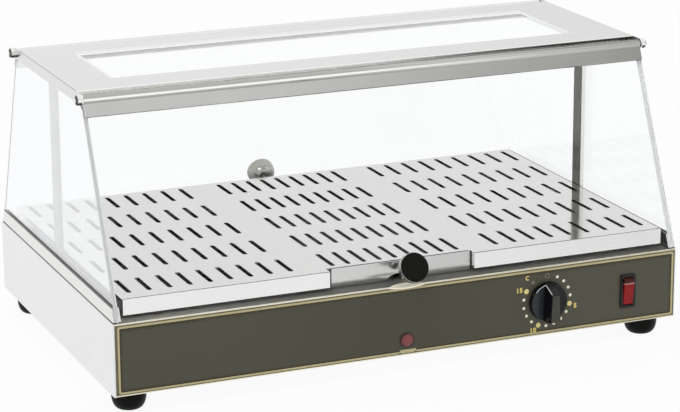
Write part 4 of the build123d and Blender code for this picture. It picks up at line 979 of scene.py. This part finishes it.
def build_camera():
    a, e, r = (math.radians(angle) for angle in (VIEW_AZIMUTH, VIEW_ELEVATION, VIEW_ROLL))
    back = Vector((math.sin(a) * math.cos(e), -math.cos(a) * math.cos(e), math.sin(e)))
    right = Vector((math.cos(a), math.sin(a), 0.0))
    up = back.cross(right)
    x = math.cos(r) * right + math.sin(r) * up
    y = -math.sin(r) * right + math.cos(r) * up
    turn = Matrix((x, y, back)).transposed().to_4x4()
    data = bpy.data.cameras.new("photo_camera")
    data.sensor_fit = "HORIZONTAL"
    data.sensor_width = SENSOR_WIDTH
    data.lens = VIEW_LENS
    data.clip_start = CLIP_NEAR
    data.clip_end = CLIP_FAR
    camera = bpy.data.objects.new("photo_camera", data)
    camera.matrix_world = Matrix.Translation(Vector(VIEW_AIM) + back * VIEW_DISTANCE) @ turn
    bpy.context.scene.collection.objects.link(camera)
    bpy.context.scene.camera = camera


def rays_that_show(tree):
    """1 for the rays that show the studio: to the camera, off metal or through glass."""
    path = tree.nodes.new("ShaderNodeLightPath")
    shown = maths(tree, "MAXIMUM", path.outputs["Is Camera Ray"], path.outputs["Is Glossy Ray"])
    return maths(tree, "MAXIMUM", shown, path.outputs["Is Transmission Ray"])


def rays_mirrored(tree):
    """1 for the rays that a mirror-like surface has thrown back."""
    path = tree.nodes.new("ShaderNodeLightPath")
    return maths(tree, "MINIMUM", path.outputs["Glossy Depth"], 1.0)


def build_world():
    """White studio: full white where it is seen or mirrored, lower where it lights matt faces."""
    world = bpy.data.worlds.new("white_studio")
    bpy.context.scene.world = world
    world.use_nodes = True
    world.cycles.sampling_method = "NONE"
    tree = world.node_tree
    tree.nodes.clear()
    level = spread(tree, rays_that_show(tree), 0.0, 1.0, STUDIO_FILL, STUDIO_WHITE)
    light = place(tree, "ShaderNodeBackground", {"Color": opaque(WHITE), "Strength": level})
    show(tree, light, "ShaderNodeOutputWorld")


def stage_sheet(name, corners):
    """A flat sheet of the studio, with an empty material."""
    mesh = bpy.data.meshes.new(name)
    mesh.from_pydata(corners, [], [(0, 1, 2, 3)])
    sheet = bpy.data.objects.new(name, mesh)
    bpy.context.scene.collection.objects.link(sheet)
    finish = bpy.data.materials.new(name)
    finish.use_nodes = True
    finish.node_tree.nodes.clear()
    mesh.materials.append(finish)
    return sheet, finish.node_tree


def build_floor():
    """White floor that keeps a soft shadow."""
    corners = [(x, y, 0.0) for x, y in panel(-FLOOR_REACH, FLOOR_REACH, -FLOOR_REACH, FLOOR_REACH)]
    _, tree = stage_sheet("studio_floor", corners)
    matt = place(tree, "ShaderNodeBsdfDiffuse", {"Color": opaque(FLOOR_PAINT)})
    glow = place(tree, "ShaderNodeEmission", {"Color": opaque(WHITE), "Strength": STUDIO_WHITE})
    show(tree, blend(tree, part_of(tree, rays_that_show(tree), FLOOR_GLOW_SHARE), matt, glow))


def build_room_card():
    """A grey card in front that only mirror-like surfaces see."""
    corners = [(x, CARD_Y, z) for x, z in panel(CARD_LEFT, CARD_RIGHT, CARD_LOW, CARD_HIGH)]
    card, tree = stage_sheet("room_card", corners)
    card.visible_camera = False
    card.visible_diffuse = False
    card.visible_transmission = False
    card.visible_volume_scatter = False
    card.visible_shadow = False
    clear = tree.nodes.new("ShaderNodeBsdfTransparent")
    glow = place(tree, "ShaderNodeEmission", {"Color": opaque(CARD_COLOUR), "Strength": CARD_GLOW})
    show(tree, blend(tree, rays_mirrored(tree), clear, glow))


def add_softbox(name, spot, aim, size, watts):
    data = bpy.data.lights.new(name, "AREA")
    data.shape = "RECTANGLE"
    data.size, data.size_y = size
    data.energy = watts
    lamp = bpy.data.objects.new(name, data)
    lamp.location = spot
    lamp.rotation_euler = (Vector(aim) - Vector(spot)).to_track_quat("-Z", "Y").to_euler()
    lamp.visible_glossy = False
    bpy.context.scene.collection.objects.link(lamp)


build_camera()
build_world()
build_floor()
build_room_card()
for softbox in SOFTBOXES:
    add_softbox(*softbox)
dress_cad_nodes()
print_border()
print_dial_marks()
paint_dial_highlights()
tape_window()

bpy.context.scene.view_settings.view_transform = "Standard"
